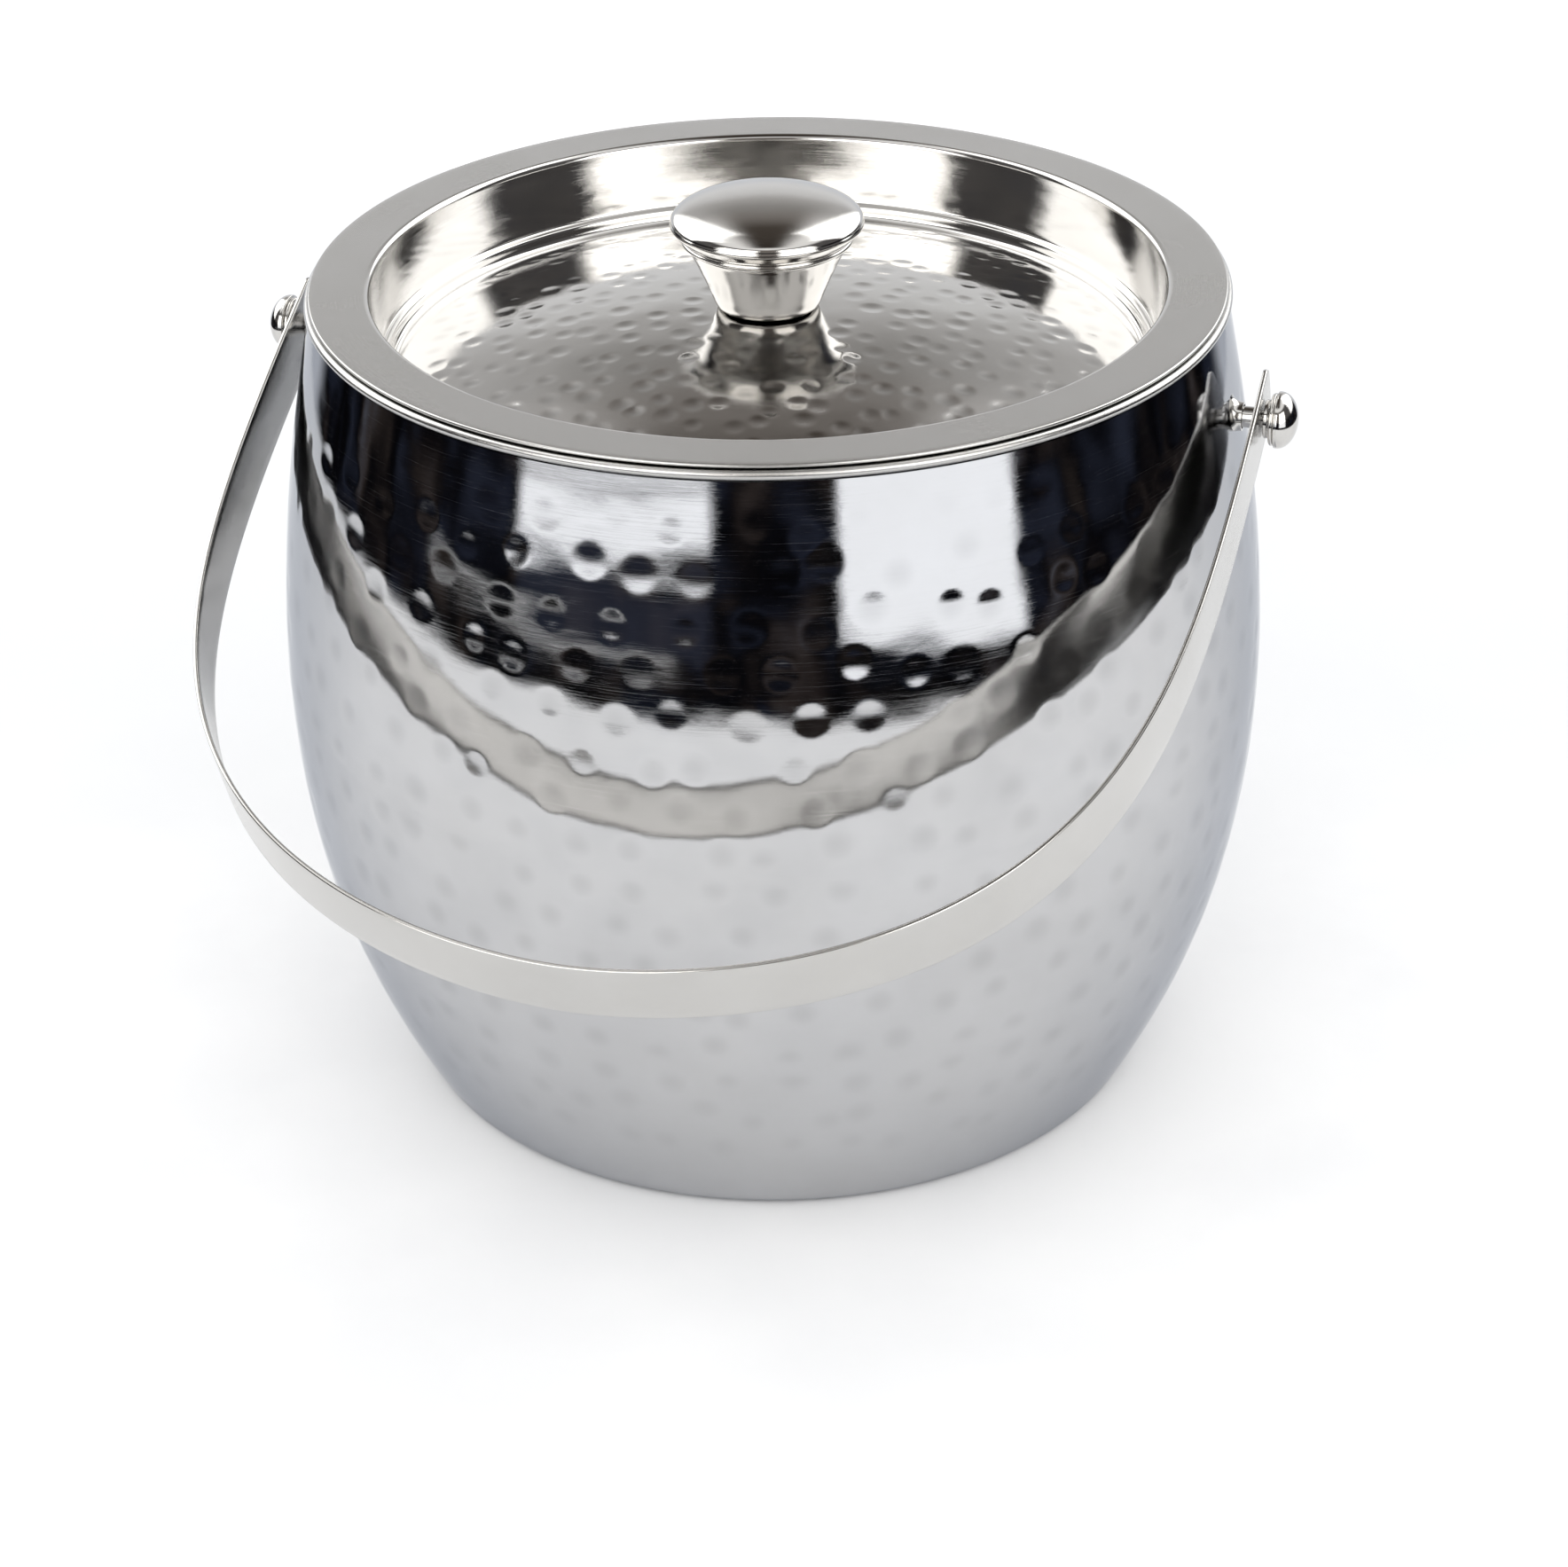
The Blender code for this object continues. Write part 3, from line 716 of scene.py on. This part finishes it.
def lid_underside(material):
    sheet = PAN_SHEET
    corner = 3.0 * MM
    centre = (PLUG_BOTTOM + corner, PLUG_RADIUS - corner)
    outline = straight((PLUG_TOP, PLUG_RADIUS), (centre[0] + 1 * MM, PLUG_RADIUS), 3 * MM)
    outline += arc(centre, corner, 0.0, -90.0, 12)
    outline += straight((PLUG_BOTTOM, centre[1] - 3 * MM), (PLUG_BOTTOM, 3 * MM), 4 * MM)
    outline += [(PLUG_BOTTOM, 0.0), (PLUG_BOTTOM + sheet, 0.0)]
    outline += arc(centre, corner - sheet, -90.0, 0.0, 6)
    outline += [(PLUG_TOP, PLUG_RADIUS - sheet)]
    piece = turned("lid_plug", outline, ROUND_COLUMNS, material)
    finished(piece, "lid", "satin_steel", "lid_underside")


def knob(material):
    """The turned knob: a funnel-shaped stem under a domed cap, with a thin bead between them."""
    seat = KNOB_SEAT
    stem_top = high("knob_stem").z
    stem = [(seat, SCREW_HOLE), (seat, 8.2 * MM)]
    stem += flowing(
        [
            (seat, 8.8 * MM),
            (seat + 0.25 * MM, 9.45 * MM),
            (seat + 0.8 * MM, 9.9 * MM),
            (seat + 1.6 * MM, 10.3 * MM),
            (seat + 3.4 * MM, 11.0 * MM),
            (seat + 6.4 * MM, 12.3 * MM),
            (seat + 9.6 * MM, 13.8 * MM),
            (seat + 11.6 * MM, 14.8 * MM),
            (stem_top - 0.15 * MM, 15.25 * MM),
            (stem_top, 15.1 * MM),
        ],
        6,
    )
    stem += [(stem_top, SCREW_HOLE)]
    finished(turned("knob_funnel", stem, KNOB_COLUMNS, material), "lid", "turned_steel", "knob_stem")

    joint = KNOB_JOINT
    edge = 171.1 * MM
    cap = [(joint, SCREW_HOLE), (joint, 15.2 * MM)]
    cap += arc((joint + 0.5 * MM, 15.7 * MM), 0.5 * MM, -90.0, 60.0, 10)
    cap += flowing(
        [
            (joint + 1.05 * MM, 15.95 * MM),
            (joint + 1.8 * MM, 16.8 * MM),
            (edge - 0.65 * MM, KNOB_RADIUS - 0.3 * MM),
            (edge, KNOB_RADIUS),
            (edge + 0.6 * MM, KNOB_RADIUS - 0.2 * MM),
        ],
        6,
    )
    crown = edge + 0.6 * MM
    dome = KNOB_RADIUS - 0.2 * MM
    for i in range(1, 40):
        angle = math.radians(90.0 * i / 40)
        cap.append((crown + (KNOB_TOP - crown) * math.sin(angle) ** 1.15, dome * math.cos(angle)))
    cap += [(KNOB_TOP, 0.0), (172.4 * MM, 0.0), (172.4 * MM, SCREW_HOLE)]
    finished(turned("knob_cap_domed", cap, KNOB_COLUMNS, material), "lid", "turned_steel", "knob_cap")


# ---------------------------------------------------------------- handle
def handle_spot(share):
    """A point of the strap's middle line: (across, reach) for share 0 at one stud to 1 at the other."""
    angle = math.pi * share
    across = math.copysign(abs(math.cos(angle)) ** 1.072, math.cos(angle))
    across *= HANDLE_HALF_SPAN * (1.0 + 0.49 * math.sin(angle) ** 2)
    return across, HANDLE_REACH * math.sin(angle) ** 1.10


def handle_stations():
    """The strap's middle line with its straight, round-cornered tails, as (across, reach, half width)."""
    half = HANDLE_WIDTH / 2
    corner = 2.2 * MM
    tail = []
    for i in range(9):
        angle = math.radians(90.0 * i / 8)
        back = corner * (1 - math.cos(angle))
        tail.append((-HANDLE_TAIL + back, half - corner + corner * math.sin(angle)))
    tail += [(reach * MM, half) for reach in (-4.0, -3.0, -2.0, -1.0, 0.0, 1.0, 2.0, 3.0)]
    stations = [(HANDLE_HALF_SPAN, reach, width) for reach, width in tail]
    steps = 260
    for i in range(1, steps):
        share = 0.5 - 0.5 * math.cos(math.pi * i / steps)
        share = 0.45 * share + 0.55 * i / steps
        across, reach = handle_spot(share)
        if reach > 5 * MM:
            stations.append((across, reach, half))
    stations += [(-HANDLE_HALF_SPAN, reach, width) for reach, width in tail[::-1]]
    return stations


def strap_section(half):
    """Half-rounded cross-section of the strap, as (out of the hoop, along its width) points."""
    thick = HANDLE_SHEET / 2
    bevel = 0.28 * MM
    crown = 0.06 * MM
    corners = ((1, 1, 0.0), (-1, 1, 90.0), (-1, -1, 180.0), (1, -1, 270.0))
    section = []
    for out, wide, start in corners:
        for i in range(4):
            angle = math.radians(start + 30.0 * i)
            spot_out = out * (thick - bevel - crown) + bevel * math.cos(angle)
            section.append((spot_out, wide * (half - bevel) + bevel * math.sin(angle)))
        if (out, wide) in ((-1, 1), (1, -1)):
            side = -1.0 if wide > 0 else 1.0
            for k in range(1, 8):
                share = k / 8
                width = (half - bevel) * (1 - 2 * share) * wide
                section.append((side * (thick - crown + crown * (1 - (1 - 2 * share) ** 2)), width))
    return section


def strap(material):
    """The flat strap handle, bent into its hoop, with eased edges and a very slight crown."""
    stations = handle_stations()
    line = np.array([(across, -reach) for across, reach, _ in stations])
    ahead = np.vstack([line[1:], 2 * line[-1] - line[-2]]) - np.vstack([2 * line[0] - line[1], line[:-1]])
    ahead /= np.linalg.norm(ahead, axis=1)[:, None]
    outwards = np.stack([-ahead[:, 1], ahead[:, 0]], axis=1)
    if outwards[len(line) // 2][1] > 0:
        outwards = -outwards
    points, faces, runs = [], [], []
    size = len(strap_section(HANDLE_WIDTH / 2))
    for (x, y), out, (_, _, half) in zip(line, outwards, stations):
        for away, wide in strap_section(half):
            points.append((x + out[0] * away, y + out[1] * away, wide))
            runs.append(wide + away)
    for i in range(len(stations) - 1):
        for k in range(size):
            after = (k + 1) % size
            a, b = i * size + k, i * size + after
            faces.append((a, b, b + size, a + size))
    last = (len(stations) - 1) * size
    faces.append(tuple(range(size))[::-1])
    faces.append(tuple(last + k for k in range(size)))
    mesh = bpy.data.meshes.new("strap")
    mesh.from_pydata(points, [], faces)
    turn = Matrix.Rotation(HANDLE_DROOP, 4, "X")
    mesh.transform(Matrix.Translation((0.0, 0.0, PIVOT_HEIGHT)) @ turn)
    point_values(mesh, "run", runs)
    mesh.materials.append(material)
    if signed_volume(mesh) < 0:
        mesh.flip_normals()
    finished(fresh("strap_hoop", mesh), "handle", "satin_steel", "handle_strap")


def signed_volume(mesh):
    mesh.calc_loop_triangles()
    points = np.empty(len(mesh.vertices) * 3)
    mesh.vertices.foreach_get("co", points)
    corners = np.empty(len(mesh.loop_triangles) * 3, np.int32)
    mesh.loop_triangles.foreach_get("vertices", corners)
    a, b, c = points.reshape(-1, 3)[corners.reshape(-1, 3)].transpose(1, 0, 2)
    return float(np.einsum("ij,ij->i", a, np.cross(b, c)).sum())


# ---------------------------------------------------------------- pivots
def pivot_pieces(side, axis, material):
    """The stud, its flared collar, the washer and the domed nut: all stay still while the strap turns."""
    placing = {"axis": axis, "height": PIVOT_HEIGHT}

    def on_pivot(name, outline, node):
        piece = turned(f"{name}_{side}", outline, SMALL_COLUMNS, material, **placing)
        finished(piece, "bucket", "turned_steel", f"{node}_{side}")

    shoulder = HANDLE_HALF_SPAN - HANDLE_SHEET / 2 - 0.3 * MM
    stud = [(STUD_INNER, 0.0), (STUD_INNER, THREAD_RADIUS)]
    stud += [(86.8 * MM, THREAD_RADIUS), (86.8 * MM, STUD_RADIUS)]
    stud += straight((86.9 * MM, STUD_RADIUS), (shoulder - 0.2 * MM, STUD_RADIUS), 0.6 * MM)
    stud += [(shoulder - 0.2 * MM, STUD_RADIUS), (shoulder, STUD_RADIUS - 0.2 * MM)]
    stud += [(shoulder, THREAD_RADIUS)]
    stud += [(STUD_END - 0.3 * MM, THREAD_RADIUS), (STUD_END, THREAD_RADIUS - 0.4 * MM), (STUD_END, 0.0)]
    on_pivot("stud", stud, "pivot_stud")

    hole = STUD_RADIUS + 0.3 * MM
    collar = [(87.5 * MM, hole), (87.5 * MM, COLLAR_RADIUS), (88.2 * MM, COLLAR_RADIUS)]
    collar += flowing(
        [
            (88.4 * MM, COLLAR_RADIUS - 0.2 * MM),
            (88.8 * MM, COLLAR_RADIUS - 0.85 * MM),
            (89.3 * MM, COLLAR_RADIUS - 1.25 * MM),
            (90.0 * MM, COLLAR_RADIUS - 1.5 * MM),
            (COLLAR_FACE, COLLAR_RADIUS - 1.6 * MM),
        ],
        5,
    )
    collar += [(COLLAR_FACE, hole)]
    on_pivot("collar", collar, "stud_collar")

    bore = THREAD_RADIUS + 0.3 * MM
    ease = 0.15 * MM
    washer = [
        (WASHER_SEAT, bore),
        (WASHER_SEAT, WASHER_RADIUS - ease),
        (WASHER_SEAT + ease, WASHER_RADIUS),
        (WASHER_FACE - ease, WASHER_RADIUS),
        (WASHER_FACE, WASHER_RADIUS - ease),
        (WASHER_FACE, bore),
    ]
    on_pivot("washer", washer, "outer_washer")

    seat = NUT_SEAT
    nut = [(seat + 3.4 * MM, 0.0), (seat + 3.4 * MM, bore), (seat, bore), (seat, 4.3 * MM)]
    nut += arc((seat + 0.5 * MM, 4.4 * MM), 0.5 * MM, -90.0, 60.0, 8)
    nut += [(seat + 1.0 * MM, 4.85 * MM)]
    nut += arc((seat + 1.25 * MM, NUT_RADIUS - 0.25 * MM), 0.25 * MM, -70.0, 30.0, 6)
    rise = NUT_TIP - seat - 1.4 * MM
    for i in range(1, 30):
        angle = math.radians(90.0 * i / 30)
        nut.append((seat + 1.4 * MM + rise * math.sin(angle), NUT_RADIUS * math.cos(angle)))
    nut.append((NUT_TIP, 0.0))
    on_pivot("acorn_nut", nut, "cap_nut")


# ---------------------------------------------------------------- room, floor and camera
def wall_edge(tree, value, start, end):
    """0 before start and 1 after end, with a smooth step between them."""
    inputs = {"Value": value, "From Min": start, "From Max": end}
    return add(tree, "ShaderNodeMapRange", inputs, interpolation_type="SMOOTHSTEP").outputs["Result"]


def between(tree, value, start, end, soft):
    opening = wall_edge(tree, value, start - soft / 2, start + soft / 2)
    closing = wall_edge(tree, value, end - soft / 2, end + soft / 2)
    return maths(tree, "SUBTRACT", opening, closing)


def blend(tree, share, first, second):
    """The first colour, with the second over it where share is 1."""
    inputs = {0: share, 6: first, 7: second}
    return add(tree, "ShaderNodeMix", inputs, data_type="RGBA", clamp_factor=True).outputs[2]


def colours_along(tree, value, stops):
    """A colour ramp with those (position, colour) stops."""
    made = add(tree, "ShaderNodeValToRGB", {"Fac": value})
    ramp = made.color_ramp
    while len(ramp.elements) < len(stops):
        ramp.elements.new(0.5)
    for element, (position, _) in zip(ramp.elements, stops):
        element.position = position
    for element, (_, colour) in zip(ramp.elements, stops):
        element.color = (*colour, 1.0)
    return made.outputs["Color"]


def grey(level, warm=0.0):
    return (level * (1 + warm), level, level * (1 - warm), 1.0)


def studio_room():
    """A white room for the eye and for soft light. Reflections see a dim room with bright windows."""
    world = bpy.data.worlds.new("studio_room")
    bpy.context.scene.world = world
    world.use_nodes = True
    world.cycles.sampling_method = "NONE"
    tree = world.node_tree
    tree.nodes.clear()
    direction = add(tree, "ShaderNodeTexCoord").outputs["Generated"]
    turned_round = add(
        tree,
        "ShaderNodeVectorRotate",
        {"Vector": direction, "Angle": math.radians(-VIEW_AZIMUTH)},
        rotation_type="Z_AXIS",
    ).outputs[0]
    split = add(tree, "ShaderNodeSeparateXYZ", {0: turned_round})
    x, y, z = split.outputs
    side = maths(tree, "ARCTAN2", x, maths(tree, "MULTIPLY", y, -1.0))
    side = maths(tree, "MULTIPLY", side, 180.0 / math.pi)
    up = maths(tree, "MULTIPLY", maths(tree, "ARCSINE", z), 180.0 / math.pi)
    away = maths(tree, "ABSOLUTE", side)

    level = maths(tree, "ADD", up, maths(tree, "MULTIPLY", away, 0.06))

    squat = add(
        tree, "ShaderNodeVectorMath", {0: turned_round, 1: (1.0, 1.0, 3.5)}, operation="MULTIPLY"
    ).outputs[0]
    furniture = add(
        tree, "ShaderNodeTexNoise", {"Vector": squat, "Scale": 5.0, "Detail": 5.0, "Distortion": 0.8}
    ).outputs["Fac"]
    dim = colours_along(
        tree,
        furniture,
        [
            (0.34, (0.024, 0.029, 0.046)),
            (0.47, (0.003, 0.003, 0.004)),
            (0.54, (0.003, 0.003, 0.004)),
            (0.63, (0.045, 0.036, 0.032)),
            (0.74, (0.10, 0.11, 0.14)),
        ],
    )

    shelves = maths(tree, "MULTIPLY", between(tree, away, 60.0, 98.0, 2.0), wall_edge(tree, up, 2.0, 14.0))
    dim = blend(tree, maths(tree, "MULTIPLY", shelves, furniture), dim, (0.22, 0.21, 0.205, 1.0))

    middle = maths(tree, "MULTIPLY", between(tree, side, -14.0, 15.0, 1.0), wall_edge(tree, up, 4.0, 16.0))
    dim = blend(tree, maths(tree, "MULTIPLY", middle, 0.85), dim, (0.27, 0.245, 0.225, 1.0))

    overhead_angle = maths(tree, "MULTIPLY", maths(tree, "ARCTAN2", z, y), 1.0 / math.pi)
    overhead = colours_along(
        tree,
        overhead_angle,
        [
            (0.0, (0.74, 0.76, 0.80)),
            (0.06, (0.90, 0.90, 0.91)),
            (0.11, (0.80, 0.80, 0.80)),
            (0.14, (0.53, 0.52, 0.51)),
            (0.18, (0.36, 0.35, 0.34)),
            (0.23, (0.27, 0.25, 0.235)),
            (0.30, (0.085, 0.072, 0.061)),
            (0.60, (0.050, 0.042, 0.036)),
            (0.64, (1.15, 1.14, 1.12)),
            (0.71, (1.15, 1.14, 1.12)),
            (0.74, (0.02, 0.018, 0.018)),
        ],
    )
    sideways = wall_edge(tree, maths(tree, "ABSOLUTE", x), 0.10, 0.34)
    sideways = maths(tree, "MULTIPLY", sideways, wall_edge(tree, up, 12.0, 24.0))
    flank = blend(tree, wall_edge(tree, up, 30.0, 50.0), grey(0.60, 0.01), grey(1.15, 0.01))
    overhead = blend(tree, sideways, overhead, flank)
    above = maths(tree, "MAXIMUM", wall_edge(tree, away, 134.0, 144.0), wall_edge(tree, up, 46.0, 56.0))
    room = blend(tree, above, dim, overhead)

    left = between(tree, side, -60.0, -14.0, 0.5)
    right = between(tree, side, 15.0, 57.5, 0.5)
    bright = (3.4, 3.35, 3.25, 1.0)
    pale = (1.5, 1.52, 1.56, 1.0)
    pane = blend(tree, wall_edge(tree, up, 2.0, 8.0), pale, bright)
    left_pane = maths(tree, "MULTIPLY", left, between(tree, level, -4.5, 44.0, 0.3))
    bar = maths(tree, "SUBTRACT", 1.0, between(tree, level, -1.9, -1.3, 0.1))
    left_pane = maths(tree, "MULTIPLY", left_pane, bar)
    right_pane = maths(tree, "MULTIPLY", right, between(tree, level, -9.3, 44.0, 0.3))
    far_across = between(tree, away, 98.0, 156.0, 2.0)
    far_panes = maths(tree, "MULTIPLY", far_across, between(tree, up, 7.0, 62.0, 3.0))
    sill_across = between(tree, side, -85.0, -22.0, 4.0)
    sill = maths(tree, "MULTIPLY", sill_across, between(tree, up, -12.2, -11.75, 0.15))
    under_left = maths(tree, "MULTIPLY", left, between(tree, up, -11.5, -7.5, 0.8))
    room = blend(tree, maths(tree, "MULTIPLY", under_left, 0.6), room, (0.042, 0.048, 0.072, 1.0))
    room = blend(tree, sill, room, grey(1.0))
    room = blend(tree, far_panes, room, (2.8, 2.78, 2.74, 1.0))
    room = blend(tree, maths(tree, "ADD", left_pane, right_pane), room, pane)

    path = add(tree, "ShaderNodeLightPath").outputs
    glossy = path["Is Glossy Ray"]
    seen = blend(tree, glossy, grey(1.22), room)
    background = add(tree, "ShaderNodeBackground", {"Color": seen, "Strength": 1.0}).outputs[0]
    add(tree, "ShaderNodeOutputWorld", {0: background})


def pale_floor():
    """A round pale table, a little darker behind. Past its edge the upper wall mirrors the room."""
    radius = 0.50
    mesh = bpy.data.meshes.new("pale_floor")
    edge = [math.tau * i / 180 for i in range(180)]
    corners = [(radius * math.cos(turn), radius * math.sin(turn), 0.0) for turn in edge]
    mesh.from_pydata(corners, [], [tuple(range(len(corners)))])
    material = bpy.data.materials.new("pale_table")
    material.use_nodes = True
    tree = material.node_tree
    shader = tree.nodes["Principled BSDF"]
    place = add(tree, "ShaderNodeTexCoord").outputs["Object"]
    mottle = add(tree, "ShaderNodeTexNoise", {"Vector": place, "Scale": 16.0, "Detail": 4.0}).outputs["Fac"]
    front = colours_along(tree, mottle, [(0.38, (0.94, 0.944, 0.952)), (0.58, (0.985, 0.987, 0.992))])
    turned_round = add(
        tree,
        "ShaderNodeVectorRotate",
        {"Vector": place, "Angle": math.radians(-VIEW_AZIMUTH)},
        rotation_type="Z_AXIS",
    ).outputs[0]
    behind = add(tree, "ShaderNodeSeparateXYZ", {0: turned_round}).outputs[1]
    share = maths(tree, "MULTIPLY", wall_edge(tree, behind, -0.02, 0.16), 0.85)
    tree.links.new(blend(tree, share, front, (0.83, 0.838, 0.85, 1.0)), shader.inputs["Base Color"])
    shader.inputs["Roughness"].default_value = 0.9
    shader.inputs["Specular IOR Level"].default_value = 0.0
    mesh.materials.append(material)
    floor = bpy.data.objects.new("pale_floor", mesh)
    bpy.context.scene.collection.objects.link(floor)


def camera():
    """The camera stands 0.72 m from the bucket's axis and looks down on it at 29 degrees."""
    data = bpy.data.cameras.new("studio_camera")
    data.sensor_fit = "HORIZONTAL"
    data.sensor_width = 36.0
    data.lens = CAMERA_LENS
    eye = bpy.data.objects.new("studio_camera", data)
    bpy.context.scene.collection.objects.link(eye)
    around = Matrix.Rotation(math.radians(VIEW_AZIMUTH), 4, "Z")
    aim = Matrix.Rotation(math.radians(-CAMERA_YAW), 4, "Z")
    down = Matrix.Rotation(math.radians(90.0 - CAMERA_PITCH), 4, "X")
    tilt = Matrix.Rotation(math.radians(CAMERA_ROLL), 4, "Z")
    place = Matrix.Translation((0.0, -CAMERA_DISTANCE, CAMERA_HEIGHT))
    eye.matrix_world = around @ place @ aim @ down @ tilt
    bpy.context.scene.camera = eye


def main():
    scene = bpy.context.scene
    scene.view_settings.view_transform = "Standard"
    studio_room()
    pale_floor()
    camera()

    wall_steel = steel(
        "hammered_mirror_steel",
        (0.545, 0.547, 0.556),
        (0.004, 0.022),
        (0.55 * MM, 0.002),
        26 * MM,
        waviness=0.003,
        scuffed=0.28,
        edge=(0.66, 0.68, 0.72),
    )
    lid_steel = steel(
        "polished_lid_steel", (0.585, 0.578, 0.567), (0.02, 0.06), (0.45 * MM, 0.006), 20 * MM, scuffed=0.08
    )
    flange_steel = steel(
        "satin_flange_steel", (0.585, 0.58, 0.57), (0.20, 0.30), (0.40 * MM, 0.012), 30 * MM
    )
    liner_steel = steel(
        "brushed_liner_steel", (0.57, 0.565, 0.555), (0.14, 0.24), (0.40 * MM, 0.03), 24 * MM
    )
    strap_steel = steel(
        "satin_strap_steel", (0.575, 0.568, 0.553), (0.12, 0.20), (0.35 * MM, 0.015), 18 * MM, scuffed=0.10
    )
    turned_steel = steel(
        "turned_knob_steel", (0.60, 0.59, 0.575), (0.03, 0.08), (0.30 * MM, 0.010), 9 * MM, scuffed=0.06
    )
    plain = machined_steel("machined_fixing_steel", (0.52, 0.515, 0.51), (0.22, 0.40))

    wall_hammer = hammer_tree(
        "hammer_rows",
        row_starts,
        {
            "Rows": 8,
            "Blows in a row": 49,
            "First row": 14 * MM,
            "Row spacing": 8.7 * MM,
            "Blow radius": 3.4 * MM,
            "Blow depth": 0.074 * MM,
            "Wander": 0.24,
            "Unevenness": 0.22 * MM,
            "Unevenness scale": 62.0,
            "Seed": 11,
        },
    )
    floor_hammer = hammer_tree(
        "hammer_rings",
        ring_starts,
        {
            "Blows": 390,
            "Inner radius": 13.0 * MM,
            "Ring spacing": 6.0 * MM,
            "Blow spacing": 6.0 * MM,
            "Blow radius": 2.3 * MM,
            "Blow depth": 0.095 * MM,
            "Wander": 0.30,
            "Unevenness": 0.16 * MM,
            "Unevenness scale": 85.0,
            "Seed": 5,
        },
    )
    hammered_wall(wall_hammer, wall_steel)
    rolled_liner(liner_steel)
    lid_floor(floor_hammer, lid_steel)
    lid_recess(lid_steel)
    lid_flange(flange_steel)
    lid_underside(liner_steel)
    knob(turned_steel)
    strap(strap_steel)
    for side, axis in (("right", "X"), ("left", "-X")):
        pivot_pieces(side, axis, turned_steel)
    carried = ["base_plate", "knob_washer", "knob_screw"]
    carried += [f"{node}_{side}" for node in ("backing_washer", "lock_nut") for side in ("right", "left")]
    for node in carried:
        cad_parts[node].data.materials.clear()
        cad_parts[node].data.materials.append(plain)


main()
